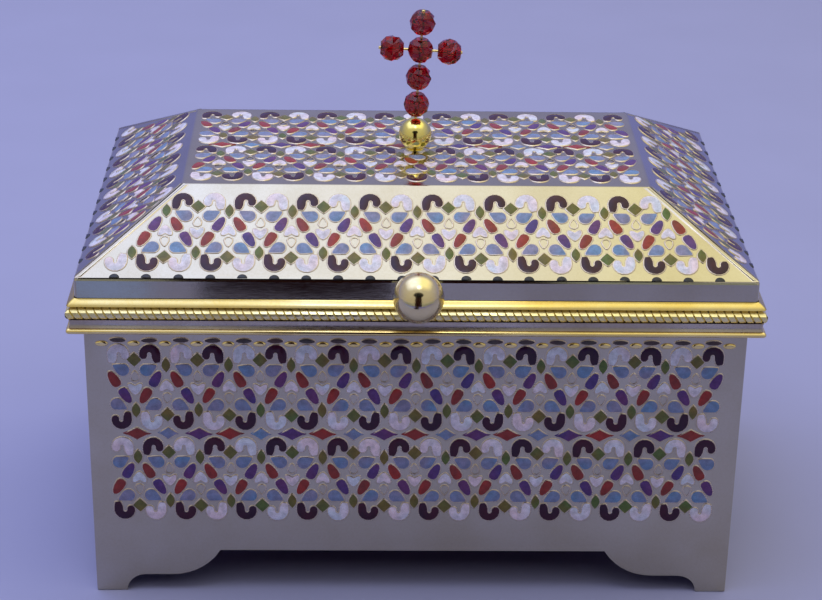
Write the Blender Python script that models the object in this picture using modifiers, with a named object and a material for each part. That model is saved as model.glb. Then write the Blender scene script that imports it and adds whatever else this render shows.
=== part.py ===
"""Gilt brass tabernacle: an enamelled casket on bracket feet, with a lift-off
hipped lid, a ball knob on its front and a leaning cross of six faceted beads.

Run with: blender --background --python part.py
Units are metres and +Z is up. The front faces -Y. The origin is on the floor,
at the middle of the whole object's outline.
"""

import math

import bmesh
import bpy
from mathutils import Matrix

MM = 0.001

# Every size below is in metres. Frame profiles are drawn as (offset, height):
# the offset is measured outwards from the outer face of the case wall.
GAP = 0.3 * MM
SHEET = 2.0 * MM

CASE_WIDTH = 250.0 * MM
CASE_DEPTH = 155.0 * MM
CASE_HEIGHT = 129.3 * MM
CASE_EDGE = 0.5 * MM
EDGE_ANGLE = math.radians(50.0)

FOOT_PAD = 12.0 * MM
COVE_RADIUS = 7.5 * MM
BRACKET_FLAT = 10.5 * MM
BRACKET_RADIUS = 22.0 * MM
ARCH_HEIGHT = 18.7 * MM

FLOOR_HEIGHT = 19.6 * MM
FLOOR_THICKNESS = 1.5 * MM

RIM_BOTTOM = 114.8 * MM
RIM_TOP = 126.0 * MM
RIM_WEB = 1.9 * MM
RIM_REACH = 5.9 * MM
BEAD_MOULD_RADIUS = 1.05 * MM
CAVETTO_TOP = 120.4 * MM
CAVETTO_LIP = 3.9 * MM
CAVETTO_DEPTH = 1.2 * MM

ROPE_REACH = 5.9 * MM
ROPE_GROOVE = 0.75 * MM
ROPE_PITCH = 3.05 * MM
ROPE_SLANT = 3.2 * MM
ROPE_MITRE_RUN = 7.0 * MM

LID_OVERHANG = 2.4 * MM
LID_EAVE = 136.8 * MM
LID_SLOPE_RUN = 38.0 * MM
LID_TOP = 159.6 * MM
LID_RIM_HEIGHT = 2.5 * MM
LID_RIM_REACH = 5.3 * MM
LID_RIM_EDGE = 0.5 * MM
LID_RIM_BULGE = 0.25 * MM

KNOB_RADIUS = 9.5 * MM
KNOB_NECK_RADIUS = 1.4 * MM
KNOB_COLLAR_RADIUS = 1.7 * MM
KNOB_COLLAR = 0.8 * MM
KNOB_NECK = 0.8 * MM
KNOB_HEIGHT = 135.1 * MM

FINIAL_RADIUS = 6.5 * MM
FINIAL_SEAT_RADIUS = 3.0 * MM
FINIAL_FOOT_RADIUS = 3.6 * MM
FINIAL_FOOT = 0.5 * MM
FINIAL_FORWARD = 3.0 * MM
SOCKET_RADIUS = 0.9 * MM
SOCKET_DEPTH = 4.2 * MM

WIRE_RADIUS = 0.5 * MM
WIRE_TIP_RADIUS = 0.75 * MM
GLASS_RADIUS = 5.25 * MM
GLASS_SPACING = 11.2 * MM
GLASS_BORE_RADIUS = 0.8 * MM
GLASS_MERIDIANS = 10
GLASS_ROWS = 6
CROSS_LEAN = math.radians(3.2)

TURNED_STEPS = 24
WIRE_STEPS = 8
BORE_SIDES = 12
MERGE_DISTANCE = 0.01 * MM
CUTTER_SPARE = 100.0 * MM
SMOOTH_ANGLE = math.radians(35.0)

# Worked out from the sizes above.
LID_HALF_WIDTH = CASE_WIDTH / 2 + LID_OVERHANG
LID_HALF_DEPTH = CASE_DEPTH / 2 + LID_OVERHANG
LID_BOTTOM = RIM_TOP + GAP
KNOB_BACK_Y = -LID_HALF_DEPTH - GAP
KNOB_CENTRE_Y = KNOB_BACK_Y - KNOB_COLLAR - KNOB_NECK - KNOB_RADIUS
FRONT_REACH = -KNOB_CENTRE_Y + KNOB_RADIUS
BACK_REACH = CASE_DEPTH / 2 + ROPE_REACH
CASE_CENTRE_Y = (FRONT_REACH - BACK_REACH) / 2
FINIAL_SEAT_DROP = math.sqrt(FINIAL_RADIUS**2 - FINIAL_SEAT_RADIUS**2)
FINIAL_BASE = LID_TOP + GAP
FINIAL_CENTRE = FINIAL_BASE + FINIAL_FOOT + FINIAL_SEAT_DROP
FINIAL_SUMMIT = FINIAL_CENTRE + FINIAL_RADIUS

GILT_PALE = (0.78, 0.70, 0.42)
GILT_WARM = (0.86, 0.66, 0.22)
RED_GLASS = (0.45, 0.02, 0.02)


def clear_scene():
    """Remove every object, so the script can be run again in an open file."""
    for item in list(bpy.data.objects):
        bpy.data.objects.remove(item, do_unlink=True)


def make_collection(name):
    """Return a new collection linked to the scene."""
    collection = bpy.data.collections.new(name)
    bpy.context.scene.collection.children.link(collection)
    return collection


def make_material(name, colour, roughness, metallic):
    """Return a Principled material."""
    material = bpy.data.materials.new(name)
    material.use_nodes = True
    shader = material.node_tree.nodes["Principled BSDF"]
    shader.inputs["Base Color"].default_value = (*colour, 1.0)
    shader.inputs["Roughness"].default_value = roughness
    shader.inputs["Metallic"].default_value = metallic
    return material


def add_object(name, mesh, collection, parent, material=None):
    """Link a mesh as a named object under its parent, and return the object."""
    item = bpy.data.objects.new(name, mesh)
    collection.objects.link(item)
    item.parent = parent
    if material is None:
        item.hide_render = True
        item.display_type = "WIRE"
    else:
        mesh.materials.append(material)
    return item


def mesh_from(bm, name):
    """Turn a bmesh into a mesh with its faces pointing out, and free it."""
    bmesh.ops.recalc_face_normals(bm, faces=bm.faces)
    mesh = bpy.data.meshes.new(name)
    bm.to_mesh(mesh)
    bm.free()
    return mesh


def shade_round(mesh):
    """Shade a round piece smooth, and keep its real edges sharp."""
    mesh.shade_smooth()
    mesh.set_sharp_from_angle(angle=SMOOTH_ANGLE)


def block_mesh(name, size, centre):
    """Return a box mesh of the given size around a centre."""
    bm = bmesh.new()
    placing = Matrix.Translation(centre) @ Matrix.Diagonal((*size, 1.0))
    bmesh.ops.create_cube(bm, size=1.0, matrix=placing)
    return mesh_from(bm, name)


def cut_with(item, cutter):
    """Subtract the cutter from an object."""
    cut = item.modifiers.new(f"Cut {cutter.name}", "BOOLEAN")
    cut.operation = "DIFFERENCE"
    cut.solver = "EXACT"
    cut.object = cutter


def round_edges(item, width):
    """Round the sharp edges of an object a little."""
    bevel = item.modifiers.new("Bevel", "BEVEL")
    bevel.width = width
    bevel.segments = 2
    bevel.limit_method = "ANGLE"
    bevel.angle_limit = EDGE_ANGLE


def arc_points(centre, radius, start, end, steps):
    """Return points along an arc in a plane, from one angle to another."""
    points = []
    for step in range(steps + 1):
        angle = start + (end - start) * step / steps
        points.append((centre[0] + radius * math.cos(angle), centre[1] + radius * math.sin(angle)))
    return points


def foot_arch_outline(side_length):
    """Return the outline of the opening between the two feet of one side.

    Each bracket foot has a level pad, a quarter-round cove, a short flat and
    a swelling curve that runs up to the straight edge of the arch.
    """
    toe = side_length / 2 - FOOT_PAD
    cove_end = toe - COVE_RADIUS
    swell_start = cove_end - BRACKET_FLAT
    swell_angle = math.acos(1.0 - (ARCH_HEIGHT - COVE_RADIUS) / BRACKET_RADIUS)
    cove = arc_points((cove_end, 0.0), COVE_RADIUS, 0.0, math.pi / 2, 6)
    swell_centre = (swell_start, COVE_RADIUS + BRACKET_RADIUS)
    swell = arc_points(swell_centre, BRACKET_RADIUS, -math.pi / 2, -math.pi / 2 - swell_angle, 7)
    right = [(toe, -ARCH_HEIGHT), *cove, *swell]
    left = [(-x, z) for x, z in reversed(right)]
    return right + left


def foot_arch_cutter(name, side_length, through, turn, collection, parent):
    """Return a cutter that opens the arch under two opposite walls."""
    curve = bpy.data.curves.new(name, "CURVE")
    curve.dimensions = "2D"
    curve.fill_mode = "BOTH"
    curve.extrude = through / 2
    outline = foot_arch_outline(side_length)
    spline = curve.splines.new("POLY")
    spline.points.add(len(outline) - 1)
    for point, (x, z) in zip(spline.points, outline):
        point.co = (x, z, 0.0, 1.0)
    spline.use_cyclic_u = True
    guide = bpy.data.objects.new(f"{name} guide", curve)
    collection.objects.link(guide)
    bpy.context.view_layer.update()
    evaluated = guide.evaluated_get(bpy.context.evaluated_depsgraph_get())
    mesh = bpy.data.meshes.new_from_object(evaluated)
    bpy.data.objects.remove(guide, do_unlink=True)
    bm = bmesh.new()
    bm.from_mesh(mesh)
    bmesh.ops.remove_doubles(bm, verts=bm.verts, dist=MERGE_DISTANCE)
    bmesh.ops.recalc_face_normals(bm, faces=bm.faces)
    bm.to_mesh(mesh)
    bm.free()
    cutter = add_object(name, mesh, collection, parent)
    cutter.rotation_euler = (math.pi / 2, 0.0, turn)
    return cutter


def build_case(parts, cutters, stand, gilt):
    """Build the four walls with their bracket feet, open above and below."""
    bm = bmesh.new()
    placing = Matrix.Translation((0.0, 0.0, CASE_HEIGHT / 2))
    placing = placing @ Matrix.Diagonal((CASE_WIDTH, CASE_DEPTH, CASE_HEIGHT, 1.0))
    bmesh.ops.create_cube(bm, size=1.0, matrix=placing)
    ends = [face for face in bm.faces if abs(face.normal.z) > 0.5]
    bmesh.ops.delete(bm, geom=ends, context="FACES_ONLY")
    mesh = bpy.data.meshes.new("case_walls")
    bm.to_mesh(mesh)
    bm.free()
    case = add_object("case_walls", mesh, parts, stand, gilt)
    wall = case.modifiers.new("Wall", "SOLIDIFY")
    wall.thickness = SHEET
    wall.offset = -1.0
    wall.use_even_offset = True
    round_edges(case, CASE_EDGE)
    through = CASE_WIDTH + CUTTER_SPARE
    for name, length, turn in (
        ("long_arch_cutter", CASE_WIDTH, 0.0),
        ("short_arch_cutter", CASE_DEPTH, math.pi / 2),
    ):
        cut_with(case, foot_arch_cutter(name, length, through, turn, cutters, stand))
    return case


def build_floor(parts, stand, gilt):
    """Build the floor plate, set in between the walls above the arches."""
    clear = 2 * (SHEET + GAP)
    size = (CASE_WIDTH - clear, CASE_DEPTH - clear, FLOOR_THICKNESS)
    mesh = block_mesh("floor_plate", size, (0.0, 0.0, FLOOR_HEIGHT + FLOOR_THICKNESS / 2))
    return add_object("floor_plate", mesh, parts, stand, gilt)


def frame_mesh(name, profile):
    """Run a closed profile round the case, with a mitre at each corner.

    The profile is spun in four steps into a square frame about the middle,
    whose four corners are then moved out to those of the case.
    """
    bm = bmesh.new()
    corner = [bm.verts.new((x * math.sqrt(2.0), 0.0, z)) for x, z in profile]
    edges = [bm.edges.new((corner[i - 1], corner[i])) for i in range(len(corner))]
    bmesh.ops.spin(
        bm,
        geom=corner + edges,
        axis=(0.0, 0.0, 1.0),
        cent=(0.0, 0.0, 0.0),
        angle=math.tau,
        steps=4,
        use_merge=True,
    )
    bmesh.ops.remove_doubles(bm, verts=bm.verts, dist=MERGE_DISTANCE)
    bmesh.ops.rotate(bm, verts=bm.verts, cent=(0.0, 0.0, 0.0), matrix=Matrix.Rotation(math.pi / 4, 3, "Z"))
    for vert in bm.verts:
        vert.co.x += math.copysign(CASE_WIDTH / 2, vert.co.x)
        vert.co.y += math.copysign(CASE_DEPTH / 2, vert.co.y)
    return mesh_from(bm, name)


def rim_profile():
    """Return the case rim's section: a bead, a cavetto, a ledge and a web."""
    bead_centre = (RIM_REACH - BEAD_MOULD_RADIUS, RIM_BOTTOM + BEAD_MOULD_RADIUS)
    bead = arc_points(bead_centre, BEAD_MOULD_RADIUS, -math.pi / 2, math.pi / 2, 6)
    hollow_bottom = RIM_BOTTOM + 2 * BEAD_MOULD_RADIUS
    hollow_height = CAVETTO_TOP - hollow_bottom
    hollow = []
    for step in range(5):
        share = step / 4
        dip = CAVETTO_DEPTH * math.sin(math.pi * share)
        hollow.append((CAVETTO_LIP - dip, hollow_bottom + hollow_height * share))
    web = [(RIM_WEB, CAVETTO_TOP), (RIM_WEB, RIM_TOP), (GAP, RIM_TOP), (GAP, RIM_BOTTOM)]
    return bead + hollow + web


def build_case_rim(parts, stand, gilt):
    """Build the moulded frame on the case that the lid rests on."""
    mesh = frame_mesh("case_rim", rim_profile())
    shade_round(mesh)
    return add_object("case_rim", mesh, parts, stand, gilt)


def rope_ring(along_share, side, radius_drop):
    """Return one cross-section of the rope moulding.

    The ring is slanted like a lay of twisted wire, and turns into the mitre
    near both ends of the side. Points go from the bottom, round the front,
    to the top.
    """
    half_run = (CASE_WIDTH if side % 2 == 0 else CASE_DEPTH) / 2
    half_out = (CASE_DEPTH if side % 2 == 0 else CASE_WIDTH) / 2
    along = (2.0 * along_share - 1.0) * half_run
    to_corner = half_run - abs(along)
    mitre = max(0.0, 1.0 - to_corner / ROPE_MITRE_RUN)
    back = RIM_WEB + GAP
    bottom = CAVETTO_TOP + GAP
    middle = (bottom + RIM_TOP) / 2
    half_height = (RIM_TOP - bottom) / 2 - radius_drop
    depth = ROPE_REACH - back - radius_drop
    turn = Matrix.Rotation(side * math.pi / 2, 3, "Z")
    ring = []
    for angle in (-math.pi / 2, -math.pi / 4, 0.0, math.pi / 4, math.pi / 2):
        offset = back + depth * math.cos(angle)
        slant = -ROPE_SLANT * math.sin(angle) / 2 * (1.0 - mitre)
        shift = math.copysign(offset * mitre, along)
        height = middle + half_height * math.sin(angle)
        place = turn @ Matrix.Translation((along + slant + shift, -half_out - offset, height)).to_translation()
        ring.append(place)
    return ring


def build_rope(parts, stand, gilt):
    """Build the rope moulding: ridges and grooves lofted round the case."""
    bm = bmesh.new()
    rings = []
    for side in range(4):
        length = CASE_WIDTH if side % 2 == 0 else CASE_DEPTH
        strands = round(length / ROPE_PITCH)
        for step in range(2 * strands):
            drop = ROPE_GROOVE if step % 2 == 0 else 0.0
            points = rope_ring(step / (2 * strands), side, drop)
            rings.append([bm.verts.new(point) for point in points])
    for index, ring in enumerate(rings):
        previous = rings[index - 1]
        for point in range(len(ring)):
            bm.faces.new((previous[point - 1], previous[point], ring[point], ring[point - 1]))
    return add_object("rope_moulding", mesh_from(bm, "rope_moulding"), parts, stand, gilt)


def build_lid_shell(parts, stand, gilt):
    """Build the hollow lid: a flat band, four hipped slopes and a flat top."""
    bm = bmesh.new()
    band = LID_EAVE - LID_BOTTOM
    placing = Matrix.Translation((0.0, 0.0, LID_BOTTOM + band / 2))
    placing = placing @ Matrix.Diagonal((2 * LID_HALF_WIDTH, 2 * LID_HALF_DEPTH, band, 1.0))
    bmesh.ops.create_cube(bm, size=1.0, matrix=placing)
    bm.faces.ensure_lookup_table()
    below = [face for face in bm.faces if face.normal.z < -0.5]
    above = [face for face in bm.faces if face.normal.z > 0.5]
    raised = bmesh.ops.extrude_face_region(bm, geom=above)
    bmesh.ops.delete(bm, geom=above, context="FACES_ONLY")
    for vert in raised["geom"]:
        if isinstance(vert, bmesh.types.BMVert):
            vert.co.x -= math.copysign(LID_SLOPE_RUN, vert.co.x)
            vert.co.y -= math.copysign(LID_SLOPE_RUN, vert.co.y)
            vert.co.z = LID_TOP
    bmesh.ops.delete(bm, geom=below, context="FACES_ONLY")
    lid = add_object("lid_shell", mesh_from(bm, "lid_shell"), parts, stand, gilt)
    wall = lid.modifiers.new("Wall", "SOLIDIFY")
    wall.thickness = SHEET
    wall.offset = -1.0
    wall.use_even_offset = True
    return lid


def build_lid_rim(parts, stand, gilt):
    """Build the sloping, slightly swelling frame along the lid's lower edge."""
    back = LID_OVERHANG + GAP
    profile = [(back, LID_BOTTOM), (LID_RIM_REACH, LID_BOTTOM)]
    for step in range(7):
        share = step / 6
        offset = LID_RIM_REACH + (back - LID_RIM_REACH) * share
        rise = LID_RIM_EDGE + (LID_RIM_HEIGHT - LID_RIM_EDGE) * share
        profile.append((offset, LID_BOTTOM + rise + LID_RIM_BULGE * math.sin(math.pi * share)))
    mesh = frame_mesh("lid_rim", profile)
    shade_round(mesh)
    return add_object("lid_rim", mesh, parts, stand, gilt)


def turned_object(name, profile, collection, parent, material=None):
    """Turn a profile, drawn top to bottom at +X, into a round solid."""
    bm = bmesh.new()
    points = [bm.verts.new((x, 0.0, z)) for x, z in profile]
    for first, second in zip(points, points[1:]):
        bm.edges.new((first, second))
    mesh = bpy.data.meshes.new(name)
    bm.to_mesh(mesh)
    bm.free()
    item = add_object(name, mesh, collection, parent, material)
    screw = item.modifiers.new("Turn", "SCREW")
    screw.axis = "Z"
    screw.angle = math.tau
    screw.steps = TURNED_STEPS
    screw.render_steps = TURNED_STEPS
    screw.use_merge_vertices = True
    screw.merge_threshold = MERGE_DISTANCE
    screw.use_smooth_shade = True
    return item


def build_knob(parts, stand, gilt):
    """Build the ball knob that stands out from the lid's flat band."""
    neck_angle = -math.acos(KNOB_NECK_RADIUS / KNOB_RADIUS)
    ball = arc_points((0.0, 0.0), KNOB_RADIUS, math.pi / 2, neck_angle, 12)
    ball[0] = (0.0, KNOB_RADIUS)
    collar_top = -KNOB_RADIUS - KNOB_NECK
    collar_bottom = collar_top - KNOB_COLLAR
    collar = [
        (KNOB_NECK_RADIUS, collar_top),
        (KNOB_COLLAR_RADIUS, collar_top),
        (KNOB_COLLAR_RADIUS, collar_bottom),
        (0.0, collar_bottom),
    ]
    knob = turned_object("front_knob", ball + collar, parts, stand, gilt)
    knob.location = (0.0, KNOB_CENTRE_Y, KNOB_HEIGHT)
    knob.rotation_euler = (math.pi / 2, 0.0, 0.0)
    return knob


def build_finial(parts, stand, gilt):
    """Build the ball on the lid's top, with a socket for the cross wire."""
    socket_angle = math.acos(SOCKET_RADIUS / FINIAL_RADIUS)
    seat_angle = -math.acos(FINIAL_SEAT_RADIUS / FINIAL_RADIUS)
    ball = arc_points((0.0, 0.0), FINIAL_RADIUS, socket_angle, seat_angle, 12)
    socket_floor = FINIAL_RADIUS - SOCKET_DEPTH
    foot_bottom = -FINIAL_SEAT_DROP - FINIAL_FOOT
    foot = [
        (FINIAL_FOOT_RADIUS, -FINIAL_SEAT_DROP),
        (FINIAL_FOOT_RADIUS, foot_bottom),
        (0.0, foot_bottom),
    ]
    socket = [(0.0, socket_floor), (SOCKET_RADIUS, socket_floor)]
    finial = turned_object("finial_ball", socket + ball + foot, parts, stand, gilt)
    finial.location = (0.0, -FINIAL_FORWARD, FINIAL_CENTRE)
    return finial


def wire_profile(bottom, top, tips):
    """Return a wire's turned outline, with a small ball on the ends in tips."""
    angle = math.acos(WIRE_RADIUS / WIRE_TIP_RADIUS)
    profile = [(0.0, top), (WIRE_RADIUS, top)]
    if "top" in tips:
        profile = arc_points((0.0, top), WIRE_TIP_RADIUS, math.pi / 2, -angle, 5)
        profile[0] = (0.0, top + WIRE_TIP_RADIUS)
    ending = [(WIRE_RADIUS, bottom), (0.0, bottom)]
    if "bottom" in tips:
        ending = arc_points((0.0, bottom), WIRE_TIP_RADIUS, angle, -math.pi / 2, 5)
        ending[-1] = (0.0, bottom - WIRE_TIP_RADIUS)
    return profile + ending


def reduce_turning(item, steps):
    """Give a thin turned object fewer sides."""
    item.modifiers["Turn"].steps = steps
    item.modifiers["Turn"].render_steps = steps


def build_cross_wire(parts, cutters, pivot, crossing, gilt):
    """Build the upright wire and its cross-arm as one soldered piece."""
    tip_reach = GLASS_SPACING + GLASS_RADIUS
    socket_end = -SOCKET_DEPTH + 2 * GAP
    upright = wire_profile(socket_end, crossing + tip_reach, ("top",))
    wire = turned_object("cross_wire", upright, parts, pivot, gilt)
    reduce_turning(wire, WIRE_STEPS)
    across = wire_profile(-tip_reach, tip_reach, ("top", "bottom"))
    arm = turned_object("cross_arm_wire", across, cutters, pivot)
    reduce_turning(arm, WIRE_STEPS)
    arm.location = (0.0, 0.0, crossing)
    arm.rotation_euler = (0.0, math.pi / 2, 0.0)
    join = wire.modifiers.new("Solder arm", "BOOLEAN")
    join.operation = "UNION"
    join.solver = "EXACT"
    join.object = arm
    return wire


def bore_cutter(name, lies_flat, place, collection, pivot):
    """Return a cutter for a bead's hole, upright or lying along X."""
    bm = bmesh.new()
    bmesh.ops.create_cone(
        bm,
        cap_ends=True,
        segments=BORE_SIDES,
        radius1=GLASS_BORE_RADIUS,
        radius2=GLASS_BORE_RADIUS,
        depth=3 * GLASS_RADIUS,
    )
    cutter = add_object(name, mesh_from(bm, name), collection, pivot)
    cutter.location = place
    if lies_flat:
        cutter.rotation_euler = (0.0, math.pi / 2, 0.0)
    return cutter


def build_glass_bead(name, place, lies_flat, parts, cutters, pivot, glass):
    """Build one faceted glass bead with its hole along the wire."""
    bm = bmesh.new()
    bmesh.ops.create_uvsphere(bm, u_segments=GLASS_MERIDIANS, v_segments=GLASS_ROWS, radius=GLASS_RADIUS)
    bead = add_object(name, mesh_from(bm, name), parts, pivot, glass)
    bead.location = place
    if lies_flat:
        bead.rotation_euler = (0.0, math.pi / 2, 0.0)
    cut_with(bead, bore_cutter(f"{name}_bore", lies_flat, place, cutters, pivot))
    return bead


def build_cross(parts, cutters, stand, gilt, glass):
    """Build the leaning cross: six beads threaded on the crossed wires."""
    pivot = bpy.data.objects.new("cross_pivot", None)
    parts.objects.link(pivot)
    pivot.parent = stand
    pivot.location = (0.0, -FINIAL_FORWARD, FINIAL_SUMMIT)
    pivot.rotation_euler = (0.0, CROSS_LEAN, 0.0)
    lowest = 2 * GAP + GLASS_RADIUS
    crossing = lowest + 2 * GLASS_SPACING
    build_cross_wire(parts, cutters, pivot, crossing, gilt)
    beads = (
        ("cross_bead_foot", 0.0, lowest, False),
        ("cross_bead_stem", 0.0, lowest + GLASS_SPACING, False),
        ("cross_bead_centre", 0.0, crossing, False),
        ("cross_bead_top", 0.0, crossing + GLASS_SPACING, False),
        ("cross_bead_left", -GLASS_SPACING, crossing, True),
        ("cross_bead_right", GLASS_SPACING, crossing, True),
    )
    for name, x, z, lies_flat in beads:
        bead = build_glass_bead(name, (x, 0.0, z), lies_flat, parts, cutters, pivot, glass)
        if name == "cross_bead_centre":
            arm_bore = bore_cutter("cross_bead_centre_arm_bore", True, (x, 0.0, z), cutters, pivot)
            cut_with(bead, arm_bore)


def main():
    """Build the whole tabernacle."""
    clear_scene()
    parts = make_collection("tabernacle")
    cutters = make_collection("tabernacle_cutters")
    stand = bpy.data.objects.new("case_middle", None)
    parts.objects.link(stand)
    stand.location = (0.0, CASE_CENTRE_Y, 0.0)
    pale = make_material("gilt_brass_sheet", GILT_PALE, 0.25, 1.0)
    warm = make_material("gilt_brass_trim", GILT_WARM, 0.12, 1.0)
    glass = make_material("red_glass", RED_GLASS, 0.05, 0.0)
    build_case(parts, cutters, stand, pale)
    build_floor(parts, stand, pale)
    build_case_rim(parts, stand, warm)
    build_rope(parts, stand, warm)
    build_lid_shell(parts, stand, pale)
    build_lid_rim(parts, stand, warm)
    build_knob(parts, stand, warm)
    build_finial(parts, stand, warm)
    build_cross(parts, cutters, stand, warm, glass)


main()
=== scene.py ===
"""Looks of a gilt brass tabernacle with enamelled walls and lid.

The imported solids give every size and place. Enamel cells, twisted wire, turned
balls and faceted glass are modelled here, and every piece gets its finish.
"""
import logging
import math
import random
from dataclasses import dataclass, field, replace
from enum import Enum
from typing import Callable

import bpy
from mathutils import Matrix, Vector


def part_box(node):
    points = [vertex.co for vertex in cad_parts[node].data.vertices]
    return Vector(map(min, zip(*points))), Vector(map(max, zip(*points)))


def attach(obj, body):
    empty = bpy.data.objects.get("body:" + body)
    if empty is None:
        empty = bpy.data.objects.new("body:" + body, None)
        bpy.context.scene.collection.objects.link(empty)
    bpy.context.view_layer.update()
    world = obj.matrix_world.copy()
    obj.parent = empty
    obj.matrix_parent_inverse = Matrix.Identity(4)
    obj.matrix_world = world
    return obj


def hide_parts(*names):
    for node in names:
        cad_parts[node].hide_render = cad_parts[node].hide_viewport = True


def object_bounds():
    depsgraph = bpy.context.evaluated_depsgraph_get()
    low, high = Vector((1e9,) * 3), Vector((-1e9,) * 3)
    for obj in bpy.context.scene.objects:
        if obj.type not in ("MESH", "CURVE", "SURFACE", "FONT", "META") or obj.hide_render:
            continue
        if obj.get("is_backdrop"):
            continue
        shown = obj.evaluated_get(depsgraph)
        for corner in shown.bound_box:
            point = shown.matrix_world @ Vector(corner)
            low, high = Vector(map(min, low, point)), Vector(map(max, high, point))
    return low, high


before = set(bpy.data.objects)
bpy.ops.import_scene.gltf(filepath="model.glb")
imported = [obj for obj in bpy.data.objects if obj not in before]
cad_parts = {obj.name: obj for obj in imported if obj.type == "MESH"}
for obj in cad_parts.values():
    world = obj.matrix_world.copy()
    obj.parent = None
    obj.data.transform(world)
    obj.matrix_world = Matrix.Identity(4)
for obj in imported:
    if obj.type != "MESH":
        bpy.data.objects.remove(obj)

CAD_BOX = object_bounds()

Colour = tuple[float, float, float]
Group = bpy.types.ShaderNodeTree
Material = bpy.types.Material
Node = bpy.types.Node
Outline = list[tuple[float, float]]
Piece = bpy.types.Object
Place = tuple[float, float, float]
Socket = bpy.types.NodeSocket

MM = 0.001
LOG = logging.getLogger("tabernacle")
BODY = "root"
GAP = 0.3 * MM  # the hair's breadth that parts two pieces

# The heart pattern: one period along a band, the band's height, and the gap
# between two bands on the same face.
PERIOD = 23.66 * MM
BAND_HEIGHT = 37.7 * MM
BAND_GAP = 2.0 * MM
CLOISON_WIDTH = 0.56 * MM
CLOISON_HEIGHT = 0.34 * MM
ENAMEL_LEVEL = 0.14 * MM
ENAMEL_DOME = 0.12 * MM
HAND_SEED = 7


class Slot(Enum):
    """The record's material slots, named for the new pieces; no piece is given one here."""

    TRIM = "gilt_trim"
    GLASS = "red_glass"
    ENAMEL = "enamel"


class Metal(Enum):
    """The metal finishes: name, colour where thin and where full, roughness and grain."""

    SHEET = ("gilt_sheet", (0.57, 0.52, 0.40), (0.49, 0.43, 0.30), 0.10, 1.0)
    TRIM = ("gilt_trim", (0.92, 0.75, 0.37), (0.86, 0.65, 0.22), 0.15, 0.5)
    # darker, duller gilt: painted shade in the rim's hollow and along the hip grooves
    SHADE = ("gilt_shade", (0.62, 0.55, 0.46), (0.44, 0.36, 0.27), 0.30, 0.8)
    ROPE = ("gilt_rope", (0.97, 0.86, 0.48), (0.92, 0.77, 0.31), 0.34, 0.5)
    # a deeper gold than the trim, and darker: painted shade that dims the lamps' reflections on the
    # band
    BAND = ("gilt_band", (0.77, 0.64, 0.30), (0.70, 0.50, 0.13), 0.18, 0.5)
    # a darker copy of the trim's gilding: painted shade that dims the lamps' reflections on the
    # knob
    KNOB = ("gilt_knob", (0.83, 0.71, 0.43), (0.77, 0.62, 0.29), 0.15, 0.5)
    BRASS = ("gilt_brass", (0.98, 0.84, 0.27), (0.94, 0.76, 0.17), 0.15, 0.5)
    # dark copper colour on the floor plate: painted shadow under the case, seen through the arches
    COPPER = ("dark_copper", (0.26, 0.13, 0.10), (0.17, 0.08, 0.07), 0.40, 1.0)
    # a darker, duller copy of the gilding: painted shade that dims the wires' glints among the
    # cells
    CLOISON = ("gilt_cloison", (0.70, 0.59, 0.46), (0.56, 0.45, 0.32), 0.30, 0.4)


class Enamel(Enum):
    """The fired colours: name, colour and how far the tone drifts."""

    PLUM = ("plum", (0.042, 0.004, 0.022), 1.0)
    WHITE = ("white", (0.86, 0.79, 0.89), 0.35)
    SKY = ("sky", (0.225, 0.285, 0.480), 0.8)
    VIOLET = ("violet", (0.120, 0.045, 0.205), 1.0)
    RED = ("red", (0.310, 0.036, 0.026), 0.8)
    OLIVE = ("olive", (0.155, 0.155, 0.032), 1.0)
    UMBER = ("umber", (0.105, 0.070, 0.060), 0.6)
    PINE = ("pine", (0.018, 0.019, 0.024), 0.6)


class Shape(Enum):
    """The outlines that an enamel cell can have."""

    CURL = "curl"
    LENS = "lens"
    STAR = "star"
    PETAL = "petal"
    LEAF = "leaf"
    HEART = "heart"
    BUD = "bud"
    LOZENGE = "lozenge"
    SPARK = "spark"
    DOT = "dot"
    NOTCH = "notch"
    BAR = "bar"


class Layer(Enum):
    """The two layers of a panel, each a piece of its own."""

    ENAMEL = "enamel"
    WIRES = "cloisons"


class Part(Enum):
    """What is picked in a mesh."""

    VERTEX = "VERT"
    EDGE = "EDGE"
    FACE = "FACE"


# ---------------------------------------------------------------- modelling


def deselect_all() -> None:
    """Leave edit mode and deselect every object."""
    if bpy.context.object and bpy.context.object.mode != "OBJECT":
        bpy.ops.object.mode_set(mode="OBJECT")
    bpy.ops.object.select_all(action="DESELECT")


def select_only(*items: Piece) -> None:
    """Select these objects and make the first one active.

    Args:
        items: the objects to select.
    """
    deselect_all()
    for item in items:
        item.select_set(True)
    bpy.context.view_layer.objects.active = items[0]


def edit_all(item: Piece) -> None:
    """Enter edit mode on one object with all of it selected.

    Args:
        item: the object.
    """
    select_only(item)
    bpy.ops.object.mode_set(mode="EDIT")
    bpy.ops.mesh.select_mode(type="VERT")
    bpy.ops.mesh.select_all(action="SELECT")


def leave_edit() -> None:
    """Go back to object mode."""
    bpy.ops.object.mode_set(mode="OBJECT")


def edit_where(item: Piece, part: Part, wanted: Callable[..., bool]) -> None:
    """Enter edit mode with only the wanted parts of a mesh selected.

    Args:
        item: the object.
        part: whether vertices, edges or faces are picked.
        wanted: tells it from a vertex's place, an edge's two ends or a face's normal.
    """
    edit_all(item)
    bpy.ops.mesh.select_all(action="DESELECT")
    bpy.ops.mesh.select_mode(type=part.value)
    leave_edit()
    mesh = item.data
    if part is Part.VERTEX:
        for vertex in mesh.vertices:
            vertex.select = wanted(vertex.co)
    elif part is Part.EDGE:
        for edge in mesh.edges:
            edge.select = wanted(*(mesh.vertices[index].co for index in edge.vertices))
    else:
        for face in mesh.polygons:
            face.select = wanted(face.normal)
    bpy.ops.object.mode_set(mode="EDIT")


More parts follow.
